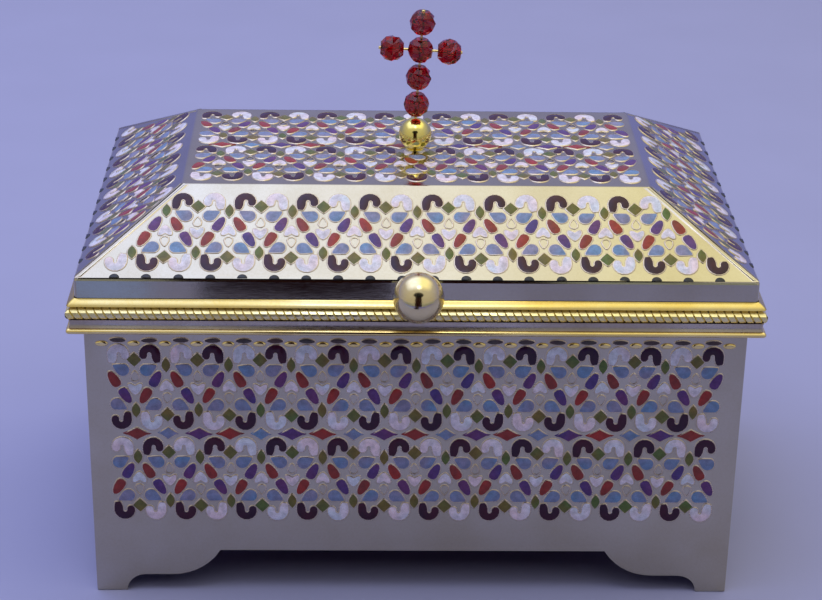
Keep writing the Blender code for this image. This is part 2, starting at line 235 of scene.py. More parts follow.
def settle(item: Piece) -> None:
    """Write an object's place into its mesh, so that it sits at the origin."""
    select_only(item)
    bpy.ops.object.transform_apply(location=True, rotation=True, scale=True)


def join(items: list[Piece], name: str) -> Piece:
    """Join objects into one named object with its place in its mesh.

    Args:
        items: the objects to join.
        name: the name of the result.

    Returns:
        The joined object.
    """
    select_only(*items)
    bpy.ops.object.join()
    piece = bpy.context.object
    piece.name = name
    piece.data.name = name
    settle(piece)
    return piece


def polygon(name: str, outline: Outline) -> Piece:
    """Add a flat face with the given outline, drawn anticlockwise.

    Args:
        name: the object's name.
        outline: the corners in the XY plane.

    Returns:
        The new object.
    """
    deselect_all()
    bpy.ops.mesh.primitive_circle_add(vertices=len(outline), radius=MM, fill_type="NGON")
    item = bpy.context.object
    item.name = name
    for index, (x, y) in zip(item.data.polygons[0].vertices, outline):
        item.data.vertices[index].co = (x, y, 0.0)
    return item


def chain(name: str, points: Outline) -> Piece:
    """Draw an open profile in the XZ plane by extruding a vertex from point to point.

    Args:
        name: the object's name.
        points: the profile's points as (x, z).

    Returns:
        An object whose mesh is the profile's edges.
    """
    deselect_all()
    bpy.ops.mesh.primitive_plane_add(size=MM)
    item = bpy.context.object
    item.name = name
    edit_all(item)
    bpy.ops.mesh.merge(type="CENTER")
    last = Vector((points[0][0], 0.0, points[0][1]))
    bpy.ops.transform.translate(value=last)
    for x, z in points[1:]:
        point = Vector((x, 0.0, z))
        bpy.ops.mesh.extrude_vertices_move(TRANSFORM_OT_translate={"value": point - last})
        last = point
    leave_edit()
    return item


def tidy_surface(item: Piece, merge: float = 0.002 * MM) -> None:
    """Merge doubles and turn the faces of a closed surface outwards.

    Args:
        item: the object.
        merge: how close two vertices are when they become one.
    """
    edit_all(item)
    bpy.ops.mesh.remove_doubles(threshold=merge)
    bpy.ops.mesh.normals_make_consistent(inside=False)
    leave_edit()


def turned(name: str, profile: Outline, steps: int) -> Piece:
    """Spin a profile about Z into a closed round solid.

    Args:
        name: the object's name.
        profile: points (radius, height) that start and end on the axis.
        steps: the number of sides.

    Returns:
        The turned object, about the world's Z axis.
    """
    item = chain(name, profile)
    edit_all(item)
    origin, axis = (0.0, 0.0, 0.0), (0.0, 0.0, 1.0)
    bpy.ops.mesh.spin(steps=steps, angle=math.tau, center=origin, axis=axis)
    leave_edit()
    tidy_surface(item)
    return item


def swept_frame(
    name: str, centre: Vector, half_size: tuple[float, float], profile: Outline, corner: float
) -> Piece:
    """Sweep a closed moulding profile round a rectangle, with mitred corners.

    Args:
        name: the object's name.
        centre: the rectangle's centre.
        half_size: half its size along X and along Y.
        profile: points (offset outwards from the rectangle, height).
        corner: the width of the rounding along the mitres.

    Returns:
        The closed frame.
    """
    deselect_all()
    offset, height = profile[0]
    reach = [half + offset for half in half_size]
    bpy.ops.mesh.primitive_plane_add(size=2.0, location=(centre.x, centre.y, height))
    item = bpy.context.object
    item.name = name
    item.scale = (reach[0], reach[1], 1.0)
    settle(item)
    edit_all(item)
    bpy.ops.mesh.delete(type="ONLY_FACE")
    bpy.ops.mesh.select_all(action="SELECT")
    for next_offset, next_height in profile[1:] + profile[:1]:
        rise = (0.0, 0.0, next_height - height)
        bpy.ops.mesh.extrude_edges_move(TRANSFORM_OT_translate={"value": rise})
        grown = [half + next_offset for half in half_size]
        ratio = (grown[0] / reach[0], grown[1] / reach[1], 1.0)
        pivot = (centre.x, centre.y, next_height)
        bpy.ops.transform.resize(value=ratio, center_override=pivot)
        reach, height = grown, next_height
    leave_edit()
    tidy_surface(item)
    longest_mitre = 10 * MM
    edit_where(item, Part.EDGE, lambda first, last: (first - last).length < longest_mitre)
    bpy.ops.mesh.bevel(offset=corner, segments=3, affect="EDGES")
    leave_edit()
    tidy_surface(item)
    return item


def cut(item: Piece, place: Vector, normal: Vector, fill: bool) -> None:
    """Cut a piece with a plane and drop what lies on the normal's side.

    Args:
        item: the piece, in object mode.
        place: a point of the plane.
        normal: the plane's normal.
        fill: whether the cut is closed with a face.
    """
    edit_all(item)
    bpy.ops.mesh.bisect(plane_co=place, plane_no=normal, clear_outer=True, use_fill=fill)
    leave_edit()


def own_copy(model: Piece) -> Piece:
    """Copy a model together with its mesh.

    Args:
        model: the model.

    Returns:
        The copy, in the scene.
    """
    copy = model.copy()
    copy.data = model.data.copy()
    bpy.context.scene.collection.objects.link(copy)
    return copy


def arc(
    radius: float, start: float, end: float, steps: int, centre: tuple[float, float] = (0.0, 0.0)
) -> Outline:
    """Return points along an arc.

    Args:
        radius: the arc's radius.
        start: the first angle in degrees.
        end: the last angle in degrees.
        steps: the number of steps between them.
        centre: the arc's centre.

    Returns:
        The points as (x, y).
    """
    points = []
    for step in range(steps + 1):
        angle = math.radians(start + (end - start) * step / steps)
        points.append((centre[0] + radius * math.cos(angle), centre[1] + radius * math.sin(angle)))
    return points


def smooth(item: Piece, angle: float = 40.0) -> None:
    """Shade a piece smooth and keep edges sharper than the angle, in degrees."""
    select_only(item)
    bpy.ops.object.shade_smooth_by_angle(angle=math.radians(angle))


def dress(item: Piece, *materials: Material) -> None:
    """Give an object its materials, the main one first.

    Args:
        item: the object.
        materials: the materials of its slots, in order.
    """
    item.data.materials.clear()
    for material in materials:
        item.data.materials.append(material)


def soften(item: Piece, width: float) -> None:
    """Round the edges of a carried-over solid with live modifiers.

    Args:
        item: the solid.
        width: the width of the rounding.
    """
    weld = item.modifiers.new("Weld", "WELD")
    weld.merge_threshold = 0.005 * MM
    bevel = item.modifiers.new("Soft edges", "BEVEL")
    bevel.width = width
    bevel.segments = 2
    bevel.limit_method = "ANGLE"
    bevel.angle_limit = math.radians(24.0)


def dress_solid(node: str, edge: float, finish: Material) -> None:
    """Soften the edges of a carried-over solid and dress it.

    Args:
        node: the solid's name.
        edge: the width of its softened edges.
        finish: its material.
    """
    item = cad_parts[node]
    soften(item, edge)
    dress(item, finish)
    LOG.info("%s: %s", node, finish.name)


def hand_in(item: Piece, slot: Slot, *nodes: str) -> None:
    """Ride a finished piece on the body and hide the solids that it replaces.

    Args:
        item: the finished piece.
        slot: not used.
        nodes: the solids that the piece replaces.
    """
    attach(item, BODY)
    if nodes:
        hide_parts(*nodes)
    LOG.info("%s: %d faces", item.name, len(item.data.polygons))


def box_of(node: str) -> tuple[Vector, Vector]:
    """Return a solid's lowest and highest corners."""
    low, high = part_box(node)
    return Vector(low), Vector(high)


def plan_of(node: str) -> tuple[Vector, tuple[float, float]]:
    """Return where a solid stands, seen from above.

    Args:
        node: the solid's name.

    Returns:
        The middle of its box's top, and half its size along X and along Y.
    """
    low, high = box_of(node)
    middle = (low + high) / 2
    half = ((high.x - low.x) / 2, (high.y - low.y) / 2)
    return Vector((middle.x, middle.y, high.z)), half


def sides() -> list[tuple[str, Matrix, bool]]:
    """List the four sides.

    Returns:
        Each side's name, its turn from the front, and whether it is a long side.
    """
    names = ("front", "right", "back", "left")
    turns = [Matrix.Rotation(number * math.pi / 2, 3, "Z") for number in range(len(names))]
    return [(name, turn, name in ("front", "back")) for name, turn in zip(names, turns)]


def face_axes(right: Vector, up: Vector) -> Matrix:
    """Return the turn that lays the XY plane on a face."""
    return Matrix((right, up, right.cross(up))).transposed().to_4x4()


# ---------------------------------------------------------------- finishes


def new_group(name: str, inputs: dict[str, Colour | float]) -> Group:
    """Make the shader node group of a surface, with its named sockets.

    Args:
        name: the group's name.
        inputs: each input's name and its default colour or number.

    Returns:
        The group with its input and output nodes, and outputs for a colour,
        a roughness and a height.
    """
    group = bpy.data.node_groups.new(name, "ShaderNodeTree")
    for label, value in inputs.items():
        kind = "NodeSocketColor" if isinstance(value, tuple) else "NodeSocketFloat"
        socket = group.interface.new_socket(name=label, in_out="INPUT", socket_type=kind)
        socket.default_value = (*value, 1.0) if isinstance(value, tuple) else value
    for label in ("Colour", "Roughness", "Height"):
        kind = "NodeSocketColor" if label == "Colour" else "NodeSocketFloat"
        group.interface.new_socket(name=label, in_out="OUTPUT", socket_type=kind)
    group.nodes.new("NodeGroupInput").name = "In"
    group.nodes.new("NodeGroupOutput").name = "Out"
    return group


@dataclass
class Wiring:
    """A node tree being wired up.

    Attributes:
        tree: the node tree.
    """

    tree: bpy.types.NodeTree

    def add(self, kind: str, **settings: object) -> Node:
        """Add a node and set its properties.

        Args:
            kind: the node's type name.
            settings: property names and their values.

        Returns:
            The new node.
        """
        node = self.tree.nodes.new(kind)
        for name, value in settings.items():
            setattr(node, name, value)
        return node

    def link(self, source: Socket, target: Socket) -> None:
        """Join an output socket to an input socket."""
        self.tree.links.new(source, target)

    def place(self) -> Socket:
        """Return the place on the object, in its own coordinates."""
        return self.add("ShaderNodeTexCoord").outputs["Object"]

    def noise(self, vector: Socket, scale: float, detail: float, rough: float = 0.5) -> Socket:
        """Add a noise texture.

        Args:
            vector: where the noise is read.
            scale: how fine it is.
            detail: how many finer layers it has.
            rough: how strong those layers are.

        Returns:
            The noise's value.
        """
        node = self.add("ShaderNodeTexNoise")
        for name, number in (("Scale", scale), ("Detail", detail), ("Roughness", rough)):
            node.inputs[name].default_value = number
        self.link(vector, node.inputs["Vector"])
        return node.outputs["Fac"]

    def spread(
        self, value: Socket, low: float, high: float, to_low: float = 0.0, to_high: float = 1.0
    ) -> Socket:
        """Map a value from one range to another, clamped.

        Args:
            value: the value.
            low: the value that becomes to_low.
            high: the value that becomes to_high.
            to_low: one end of the new range.
            to_high: its other end.

        Returns:
            The mapped value.
        """
        node = self.add("ShaderNodeMapRange")
        names = ("From Min", "From Max", "To Min", "To Max")
        for name, number in zip(names, (low, high, to_low, to_high)):
            node.inputs[name].default_value = number
        self.link(value, node.inputs["Value"])
        return node.outputs["Result"]

    def math(self, operation: str, first: Socket | float, second: Socket | float) -> Socket:
        """Add a maths node.

        Args:
            operation: what it does.
            first: its first operand.
            second: its second operand.

        Returns:
            The result.
        """
        node = self.add("ShaderNodeMath", operation=operation)
        for socket, operand in zip(node.inputs, (first, second)):
            if isinstance(operand, float):
                socket.default_value = operand
            else:
                self.link(operand, socket)
        return node.outputs["Value"]

    def mix(self, share: Socket, first: Socket | Colour, second: Socket | Colour) -> Socket:
        """Mix two colours.

        Args:
            share: how much there is of the second.
            first: the first colour.
            second: the second colour.

        Returns:
            The mixed colour.
        """
        node = self.add("ShaderNodeMix", data_type="RGBA")
        self.link(share, node.inputs["Factor"])
        for socket, colour in zip((node.inputs[6], node.inputs[7]), (first, second)):
            if isinstance(colour, tuple):
                socket.default_value = (*colour, 1.0)
            else:
                self.link(colour, socket)
        return node.outputs[2]


def gilt_group() -> Group:
    """Build the gilding's surface: cloudy tone, fine polishing marks and grain.

    Returns:
        The node group.
    """
    defaults = {"Pale": (0.9, 0.8, 0.6), "Deep": (0.8, 0.6, 0.3), "Roughness": 0.2, "Grain": 1.0}
    group = new_group("gilding", defaults)
    wires = Wiring(group)
    source, sink = group.nodes["In"], group.nodes["Out"]
    place = wires.place()
    cloud = wires.noise(place, scale=38.0, detail=3.0)
    fine = wires.noise(place, scale=900.0, detail=4.0, rough=0.6)
    stretch = wires.add("ShaderNodeMapping")
    stretch.inputs["Scale"].default_value = (260.0, 260.0, 2600.0)
    wires.link(place, stretch.inputs["Vector"])
    marks = wires.noise(stretch.outputs["Vector"], scale=1.0, detail=2.0)
    clouds = wires.spread(cloud, 0.32, 0.68, to_high=0.75)
    tone = wires.math("ADD", clouds, wires.spread(fine, 0.4, 0.7, to_high=0.25))
    colour = wires.mix(tone, source.outputs["Pale"], source.outputs["Deep"])
    wires.link(colour, sink.inputs["Colour"])
    dull = wires.spread(cloud, 0.3, 0.7, 0.75, 1.2)
    uneven = wires.math("ADD", dull, wires.spread(marks, 0.35, 0.65, -0.12, 0.18))
    roughness = wires.math("MULTIPLY", source.outputs["Roughness"], uneven)
    wires.link(roughness, sink.inputs["Roughness"])
    grain = wires.math("MULTIPLY", fine, 0.6)
    height = wires.math("ADD", grain, wires.math("MULTIPLY", marks, 0.4))
    wires.link(wires.math("MULTIPLY", height, source.outputs["Grain"]), sink.inputs["Height"])
    return group


def enamel_group() -> Group:
    """Build the enamel's surface: drifting tone, tiny pits and flecks.

    Returns:
        The node group.
    """
    defaults = {"Colour": (0.5, 0.5, 0.5), "Warm": (0.5, 0.4, 0.4), "Cool": (0.4, 0.4, 0.5)}
    group = new_group("fired_enamel", defaults)
    wires = Wiring(group)
    source, sink = group.nodes["In"], group.nodes["Out"]
    place = wires.place()
    drift = wires.noise(place, scale=95.0, detail=1.0)
    pool = wires.noise(place, scale=420.0, detail=2.0)
    fleck = wires.noise(place, scale=2200.0, detail=2.0)
    warm_share = wires.spread(drift, 0.50, 0.68)
    warmed = wires.mix(warm_share, source.outputs["Colour"], source.outputs["Warm"])
    tone = wires.mix(wires.spread(drift, 0.48, 0.32), warmed, source.outputs["Cool"])
    flecks = wires.spread(fleck, 0.35, 0.7, 0.88, 1.08)
    shade = wires.math("MULTIPLY", flecks, wires.spread(pool, 0.3, 0.7, 0.8, 1.2))
    tinted = wires.add("ShaderNodeVectorMath", operation="SCALE")
    wires.link(tone, tinted.inputs[0])
    wires.link(shade, tinted.inputs["Scale"])
    wires.link(tinted.outputs["Vector"], sink.inputs["Colour"])
    wires.link(wires.spread(drift, 0.3, 0.7, 0.10, 0.26), sink.inputs["Roughness"])
    height = wires.math("ADD", wires.math("MULTIPLY", drift, 2.5), fleck)
    wires.link(height, sink.inputs["Height"])
    return group


def new_material(name: str, constants: dict[str, float]) -> tuple[Material, Wiring, Node]:
    """Make a material whose constants stand on the shader's own sockets.

    Args:
        name: the material's name.
        constants: each such socket and its value.

    Returns:
        The material, its wiring and its shader.
    """
    material = bpy.data.materials.new(name)
    material.use_nodes = True
    shader = material.node_tree.nodes["Principled BSDF"]
    for socket, value in constants.items():
        shader.inputs[socket].default_value = value
    return material, Wiring(material.node_tree), shader


def feed_surface(
    wires: Wiring,
    shader: Node,
    group: Group,
    values: dict[str, Colour | float],
    bump_size: tuple[float, float],
) -> None:
    """Feed a shader with a surface group's colour, roughness and height.

    Args:
        wires: the material's wiring.
        shader: its shader.
        group: the surface group.
        values: the group's inputs.
        bump_size: the bump's strength and its depth.
    """
    surface = wires.add("ShaderNodeGroup", node_tree=group)
    for name, value in values.items():
        surface.inputs[name].default_value = (*value, 1.0) if isinstance(value, tuple) else value
    wires.link(surface.outputs["Colour"], shader.inputs["Base Color"])
    wires.link(surface.outputs["Roughness"], shader.inputs["Roughness"])
    bump = wires.add("ShaderNodeBump")
    bump.inputs["Strength"].default_value, bump.inputs["Distance"].default_value = bump_size
    wires.link(surface.outputs["Height"], bump.inputs["Height"])
    wires.link(bump.outputs["Normal"], shader.inputs["Normal"])


@dataclass(frozen=True)
class GiltFinish:
    """Gilding on brass, its darker copies that paint shade, or a dark copper colour that paints
    shadow.

    Attributes:
        name: the material's name.
        pale: the colour of its thin places.
        deep: the colour of its full places.
        roughness: how dull the polish is.
        grain: how strong the polishing marks are.
        bump: the strength and the depth of those marks.
    """

    name: str
    pale: Colour
    deep: Colour
    roughness: float
    grain: float
    bump: tuple[float, float] = (0.18, 0.05 * MM)

    def build(self, group: Group) -> Material:
        """Build the material.

        Args:
            group: the gilding node group.

        Returns:
            The finished material.
        """
        material, wires, shader = new_material(self.name, {"Metallic": 1.0})
        values = {"Pale": self.pale, "Deep": self.deep}
        values.update({"Roughness": self.roughness, "Grain": self.grain})
        feed_surface(wires, shader, group, values, self.bump)
        return material


@dataclass(frozen=True)
class EnamelFinish:
    """Glossy fired enamel of one colour.

    Attributes:
        name: the colour's name.
        colour: the colour.
        drift: how far its tone drifts.
        warm_shares: what the drift adds to red, green and blue at its warm end.
        cool_shares: the same at its cool end.
        bump: the strength and the depth of its pits.
    """

    name: str
    colour: Colour
    drift: float
    warm_shares: Colour = (0.35, -0.05, -0.15)
    cool_shares: Colour = (-0.28, 0.10, 0.12)
    bump: tuple[float, float] = (0.25, 0.04 * MM)

    def tinted(self, shares: Colour) -> Colour:
        """Return the colour at one end of its drift."""
        return tuple(part * (1.0 + self.drift * share) for part, share in zip(self.colour, shares))

    def build(self, group: Group) -> Material:
        """Build the material.

        Args:
            group: the enamel node group.

        Returns:
            The finished material.
        """
        gloss = {"Specular IOR Level": 0.3, "Coat Weight": 0.15, "Coat Roughness": 0.05}
        material, wires, shader = new_material(f"enamel_{self.name}", gloss)
        warm, cool = self.tinted(self.warm_shares), self.tinted(self.cool_shares)
        values = {"Colour": self.colour, "Warm": warm, "Cool": cool}
        feed_surface(wires, shader, group, values, self.bump)
        return material


@dataclass(frozen=True)
class GlassFinish:
    """Clear coloured glass.

    Attributes:
        name: the material's name.
        colour: what the glass lets through.
        haze: a slightly different colour that drifts through it.
    """

    name: str
    colour: Colour
    haze: Colour

    def build(self) -> Material:
        """Build the material.

        Returns:
            The finished material.
        """
        clear = {"Transmission Weight": 1.0, "IOR": 1.47, "Roughness": 0.02}
        material, wires, shader = new_material(self.name, clear)
        drift = wires.spread(wires.noise(wires.place(), scale=300.0, detail=2.0), 0.35, 0.65)
        wires.link(wires.mix(drift, self.colour, self.haze), shader.inputs["Base Color"])
        return material


@dataclass(frozen=True)
class DullFinish:
    """A dull painted surface: the pale floor or a studio card.

    Attributes:
        name: the material's name.
        colour: its colour.
        worn: how much of the colour is left in its darker places.
    """

    name: str
    colour: Colour
    worn: float = 0.97

    def build(self) -> Material:
        """Build the material.

        Returns:
            The finished material.
        """
        dull = {"Roughness": 0.9, "Specular IOR Level": 0.0}
        material, wires, shader = new_material(self.name, dull)
        tooth = wires.spread(wires.noise(wires.place(), scale=14.0, detail=3.0), 0.3, 0.7)
        darker = tuple(self.worn * part for part in self.colour)
        wires.link(wires.mix(tooth, self.colour, darker), shader.inputs["Base Color"])
        return material


@dataclass
class Finishes:
    """All the materials of the tabernacle."""

    metals: dict[Metal, Material] = field(init=False)
    glass: Material = field(init=False)
    enamels: dict[Enamel, Material] = field(init=False)

    def __post_init__(self) -> None:
        """Build each material once."""
        gilding, fired = gilt_group(), enamel_group()
        self.metals = {metal: GiltFinish(*metal.value).build(gilding) for metal in Metal}
        self.glass = GlassFinish("red_glass", (0.48, 0.010, 0.014), (0.34, 0.005, 0.010)).build()
        self.enamels = {enamel: EnamelFinish(*enamel.value).build(fired) for enamel in Enamel}


# ---------------------------------------------------------------- enamel cells


@dataclass(frozen=True)
class Cell:
    """One enamel cell in a band.

    Attributes:
        shape: its outline.
        fill: its enamel, the metal of a stud, or None for an empty cell.
        along: its place along the band.
        down: its place below the band's upper edge.
        turn: its turn in degrees, anticlockwise.
        mirrored: whether its outline is mirrored left to right.
    """

    shape: Shape
    fill: Enamel | Metal | None
    along: float
    down: float
    turn: float = 0.0
    mirrored: bool = False

    def glided(self) -> "Cell":
        """Return the cell half a period on and upside down in the band.

        Returns:
            The new cell.
        """
        along, down = self.along + PERIOD / 2, BAND_HEIGHT - self.down
        turn, mirrored = 180.0 - self.turn, not self.mirrored
        return replace(self, along=along, down=down, turn=turn, mirrored=mirrored)

    def moved(self, along: float, down: float) -> "Cell":
        """Return the cell moved along and down."""
        return replace(self, along=self.along + along, down=self.down + down)


def curl_outline() -> Outline:
    """Return the outline of a thick curled lobe, its long leg down on the left.

    The lobe follows a spine of points (x, y, half width): a leg of three
    points, and an arc over the top that ends in a rounded tip.

    Returns:
        The outline, anticlockwise.
    """
    leg = ((-2.9, -3.85, 1.15), (-2.7, -2.7, 1.75), (-2.5, -1.3, 2.05))
    spine = [(x * MM, y * MM, width * MM) for x, y, width in leg]
    across, up = 2.44 * MM, 2.62 * MM
    first_angle, sweep, arc_steps = 172.0, 186.0, 8
    full_width, thinning = 2.12, 0.03
    for step in range(arc_steps + 1):
        angle = math.radians(first_angle - sweep * step / arc_steps)
        width = (full_width - thinning * step) * MM
        spine.append((across * math.cos(angle), up * math.sin(angle), width))
    outer, inner = [], []
    for index, (x, y, width) in enumerate(spine):
        before = spine[max(0, index - 1)]
        after = spine[min(len(spine) - 1, index + 1)]
        heading = Vector((after[0] - before[0], after[1] - before[1])).normalized()
        outer.append((x - heading.y * width, y + heading.x * width))
        inner.append((x + heading.y * width, y - heading.x * width))
    aside = Vector((heading.y, -heading.x)) * width
    tip = []
    for side, ahead in ((0.8, 0.5), (0.35, 0.85), (-0.35, 0.85), (-0.8, 0.5)):
        tip.append(tuple(Vector((x, y)) + aside * side + heading * width * ahead))
    return inner + tip + outer[::-1]


def pointed_oval(width: float, height: float, steps: int) -> Outline:
    """Return an upright oval that is pointed at its two ends.

    Args:
        width: its width.
        height: its height.
        steps: how many points each side has.

    Returns:
        The outline, anticlockwise.
    """
    points = []
    for side in (1.0, -1.0):
        for step in range(steps):
            share = 2.0 * step / steps - 1.0
            points.append((side * width / 2 * (1.0 - share * share), side * share * height / 2))
    return points


def cross_star(width: float, height: float, hollow: float, steps: int) -> Outline:
    """Return a four-pointed star.

    Args:
        width: its width.
        height: its height.
        hollow: a smaller value draws its sides in.
        steps: how many points it has.

    Returns:
        The outline, anticlockwise.
    """
    points = []
    for step in range(steps):
        angle = math.tau * step / steps
        across, up = abs(math.cos(angle)), abs(math.sin(angle))
        reach = (across**hollow + up**hollow) ** (-1.0 / hollow)
        points.append((width / 2 * reach * math.cos(angle), height / 2 * reach * math.sin(angle)))
    return points


def egg(width: float, height: float, point: float, steps: int, fullness: float = 1.0) -> Outline:
    """Return an upright egg or leaf shape.

    Args:
        width: its width.
        height: its height.
        point: a larger value makes its top more pointed.
        steps: how many points it has.
        fullness: a value below 1 makes its lower end blunt.

    Returns:
        The outline, anticlockwise.
    """
    sharpness = 1.4
    points = []
    for step in range(steps):
        angle = math.tau * step / steps
        across, up = math.cos(angle), math.sin(angle)
        narrow = 1.0 - point * (0.5 + 0.5 * up) ** sharpness
        x = math.copysign(abs(across) ** fullness, across) * narrow
        points.append((width / 2 * x, height / 2 * math.copysign(abs(up) ** fullness, up)))
    return points


def heart(width: float, height: float, notch: float, steps: int) -> Outline:
    """Return a slim heart that stands on its point.

    Args:
        width: its width.
        height: its height.
        notch: how deep the notch in its top is.
        steps: how many points it has.

    Returns:
        The outline, anticlockwise.
    """
    slimness, swelling, lobe_top, notch_width = 0.42, 0.68, 0.95, 1.2
    points = []
    for step in range(steps):
        angle = math.tau * step / steps - math.pi / 2
        across, up = math.cos(angle), math.sin(angle)
        swell = slimness + swelling * math.sqrt(0.5 + 0.5 * up) if up < lobe_top else 0.0
        dip = notch * (1.0 - abs(across)) ** notch_width if up > 0.0 else 0.0
        points.append((width / 2 * across * swell, height / 2 * up - dip))
    return points


def petal_outline() -> Outline:
    """Return a petal: a flat top, a round belly and a point at its upper left.

    Returns:
        The outline, anticlockwise.
    """
    flat_top = 2.85 * MM
    belly_across, belly_up = 2.95 * MM, 3.0 * MM
    middle_x, middle_y = 0.5 * MM, 0.1 * MM
    first_angle, step_angle, steps = -150.0, 27.0, 9
    points = []
    for step in range(steps):
        angle = math.radians(first_angle + step_angle * step)
        x, y = middle_x + belly_across * math.cos(angle), middle_y + belly_up * math.sin(angle)
        points.append((x, min(y, flat_top)))
    return points + [(-1.0 * MM, flat_top), (-3.5 * MM, 2.65 * MM), (-3.6 * MM, 1.4 * MM)]


OUTLINES: dict[Shape, Callable[[], Outline]] = {
    Shape.CURL: curl_outline,
    Shape.LENS: lambda: pointed_oval(4.2 * MM, 7.2 * MM, 6),
    Shape.STAR: lambda: cross_star(6.6 * MM, 6.8 * MM, 1.10, 12),
    Shape.PETAL: petal_outline,
    Shape.LEAF: lambda: egg(5.4 * MM, 8.0 * MM, 0.42, 12, fullness=0.78),
    Shape.HEART: lambda: heart(6.6 * MM, 7.2 * MM, 2.7 * MM, 14),
    Shape.BUD: lambda: egg(4.9 * MM, 5.4 * MM, 0.6, 9),
    Shape.LOZENGE: lambda: cross_star(11.2 * MM, 6.0 * MM, 0.95, 12),
    Shape.SPARK: lambda: cross_star(8.2 * MM, 5.8 * MM, 0.98, 12),
    Shape.DOT: lambda: egg(5.2 * MM, 2.5 * MM, 0.1, 12),
    Shape.NOTCH: lambda: arc(1.95 * MM, 0.0, 180.0, 8, (0.0, -1.1 * MM)),
    Shape.BAR: lambda: egg(7.2 * MM, 2.7 * MM, 0.1, 12),
}


@dataclass
class CellKit:
    """Cell models, made once for each outline and copied for every cell.

    Attributes:
        finishes: the materials.
        models: the models made so far.
    """

    finishes: Finishes
    models: dict[tuple[str, Shape, bool], Piece] = field(default_factory=dict)

    def blank(self, shape: Shape, mirrored: bool) -> Piece:
        """Add a flat face with a cell's outline, in edit mode.

        Args:
            shape: the cell's outline.
            mirrored: whether it is mirrored.

        Returns:
            The face.
        """
        points = OUTLINES[shape]()
        if mirrored:
            points = [(-x, y) for x, y in reversed(points)]
        item = polygon(f"cell_{shape.value}", points)
        edit_all(item)
        return item

    def wall_model(self, shape: Shape, mirrored: bool) -> Piece:
        """Model the gilt wire that stands round a cell.

        Args:
            shape: the cell's outline.
            mirrored: whether it is mirrored.

        Returns:
            A thin rounded ridge along the outline.
        """
        item = self.blank(shape, mirrored)
        for depth in (CLOISON_HEIGHT, ENAMEL_LEVEL - CLOISON_HEIGHT):
            bpy.ops.mesh.inset(thickness=CLOISON_WIDTH / 2, depth=depth, use_even_offset=True)
        bpy.ops.mesh.delete(type="FACE")
        leave_edit()
        # the wire's darker gilt is painted shade that dims its glints
        dress(item, self.finishes.metals[Metal.CLOISON])
        return item

    def fill_model(self, shape: Shape, mirrored: bool) -> Piece:
        """Model the softly domed enamel inside a cell.

        Args:
            shape: the cell's outline.
            mirrored: whether it is mirrored.

        Returns:
            The enamel's surface, up to the middle of the wire.
        """
        hidden, dome_edge = CLOISON_WIDTH * 0.8, 0.32 * MM
        item = self.blank(shape, mirrored)
        bpy.ops.mesh.inset(thickness=hidden, depth=ENAMEL_LEVEL, use_even_offset=True)
        bpy.ops.mesh.select_all(action="INVERT")
        bpy.ops.mesh.delete(type="FACE")
        bpy.ops.mesh.select_all(action="SELECT")
        bpy.ops.mesh.inset(thickness=dome_edge, depth=ENAMEL_DOME, use_even_offset=True)
        leave_edit()
        return item

    def stud_model(self, shape: Shape, mirrored: bool) -> Piece:
        """Model a small domed gold stud.

        Args:
            shape: the stud's outline.
            mirrored: whether it is mirrored.

        Returns:
            The stud.
        """
        item = self.blank(shape, mirrored)
        for inset, rise in ((0.12, 0.22), (0.28, 0.20), (0.3, 0.08)):
            bpy.ops.mesh.inset(thickness=inset * MM, depth=rise * MM, use_even_offset=True)
        leave_edit()
        dress(item, self.finishes.metals[Metal.TRIM])
        return item

    def copy_of(self, cell: Cell, layer: Layer) -> Piece:
        """Copy one layer of a cell.

        Args:
            cell: the cell.
            layer: its wire or its enamel.

        Returns:
            An object with its own mesh.
        """
        make = self.wall_model if layer is Layer.WIRES else self.fill_model
        if isinstance(cell.fill, Metal):
            make = self.stud_model
        key = (make.__name__, cell.shape, cell.mirrored)
        if key not in self.models:
            self.models[key] = make(cell.shape, cell.mirrored)
            smooth(self.models[key], 180.0)
        copy = own_copy(self.models[key])
        if layer is Layer.ENAMEL:
            dress(copy, self.finishes.enamels[cell.fill])
        return copy

    def clear(self) -> None:
        """Remove the models once all the panels are made."""
        for model in self.models.values():
            bpy.data.objects.remove(model, do_unlink=True)


def upper_motifs(left: Enamel, right: Enamel) -> list[Cell]:
    """Return the upper half of one period, from an upper lens to the next.

    Args:
        left: the colour of each heart's left lobe.
        right: the colour of each heart's right lobe.

    Returns:
        The cells of the upper row, which the lower row repeats upside down.
    """
    lobe_down, petal_down, leaf_down = 4.88 * MM, 11.6 * MM, 15.3 * MM
    lobe, petal, leaf, lean = 5.9 * MM, 5.0 * MM, 8.0 * MM, 28.0
    middle = PERIOD / 2
    return [
        Cell(Shape.LENS, Enamel.OLIVE, 0.0, 9.2 * MM),
        Cell(Shape.CURL, left, middle - lobe, lobe_down),
        Cell(Shape.CURL, right, middle + lobe, lobe_down, mirrored=True),
        Cell(Shape.STAR, Enamel.OLIVE, middle, 7.1 * MM),
        Cell(Shape.PETAL, Enamel.SKY, middle - petal, petal_down),
        Cell(Shape.PETAL, Enamel.SKY, middle + petal, petal_down, mirrored=True),
        Cell(Shape.LEAF, Enamel.RED, middle - leaf, leaf_down, turn=lean),
        Cell(Shape.LEAF, Enamel.VIOLET, middle + leaf, leaf_down, turn=-lean, mirrored=True),
        Cell(Shape.BUD, None, middle, 14.2 * MM),
        Cell(Shape.HEART, Enamel.WHITE, middle, 18.7 * MM),
    ]


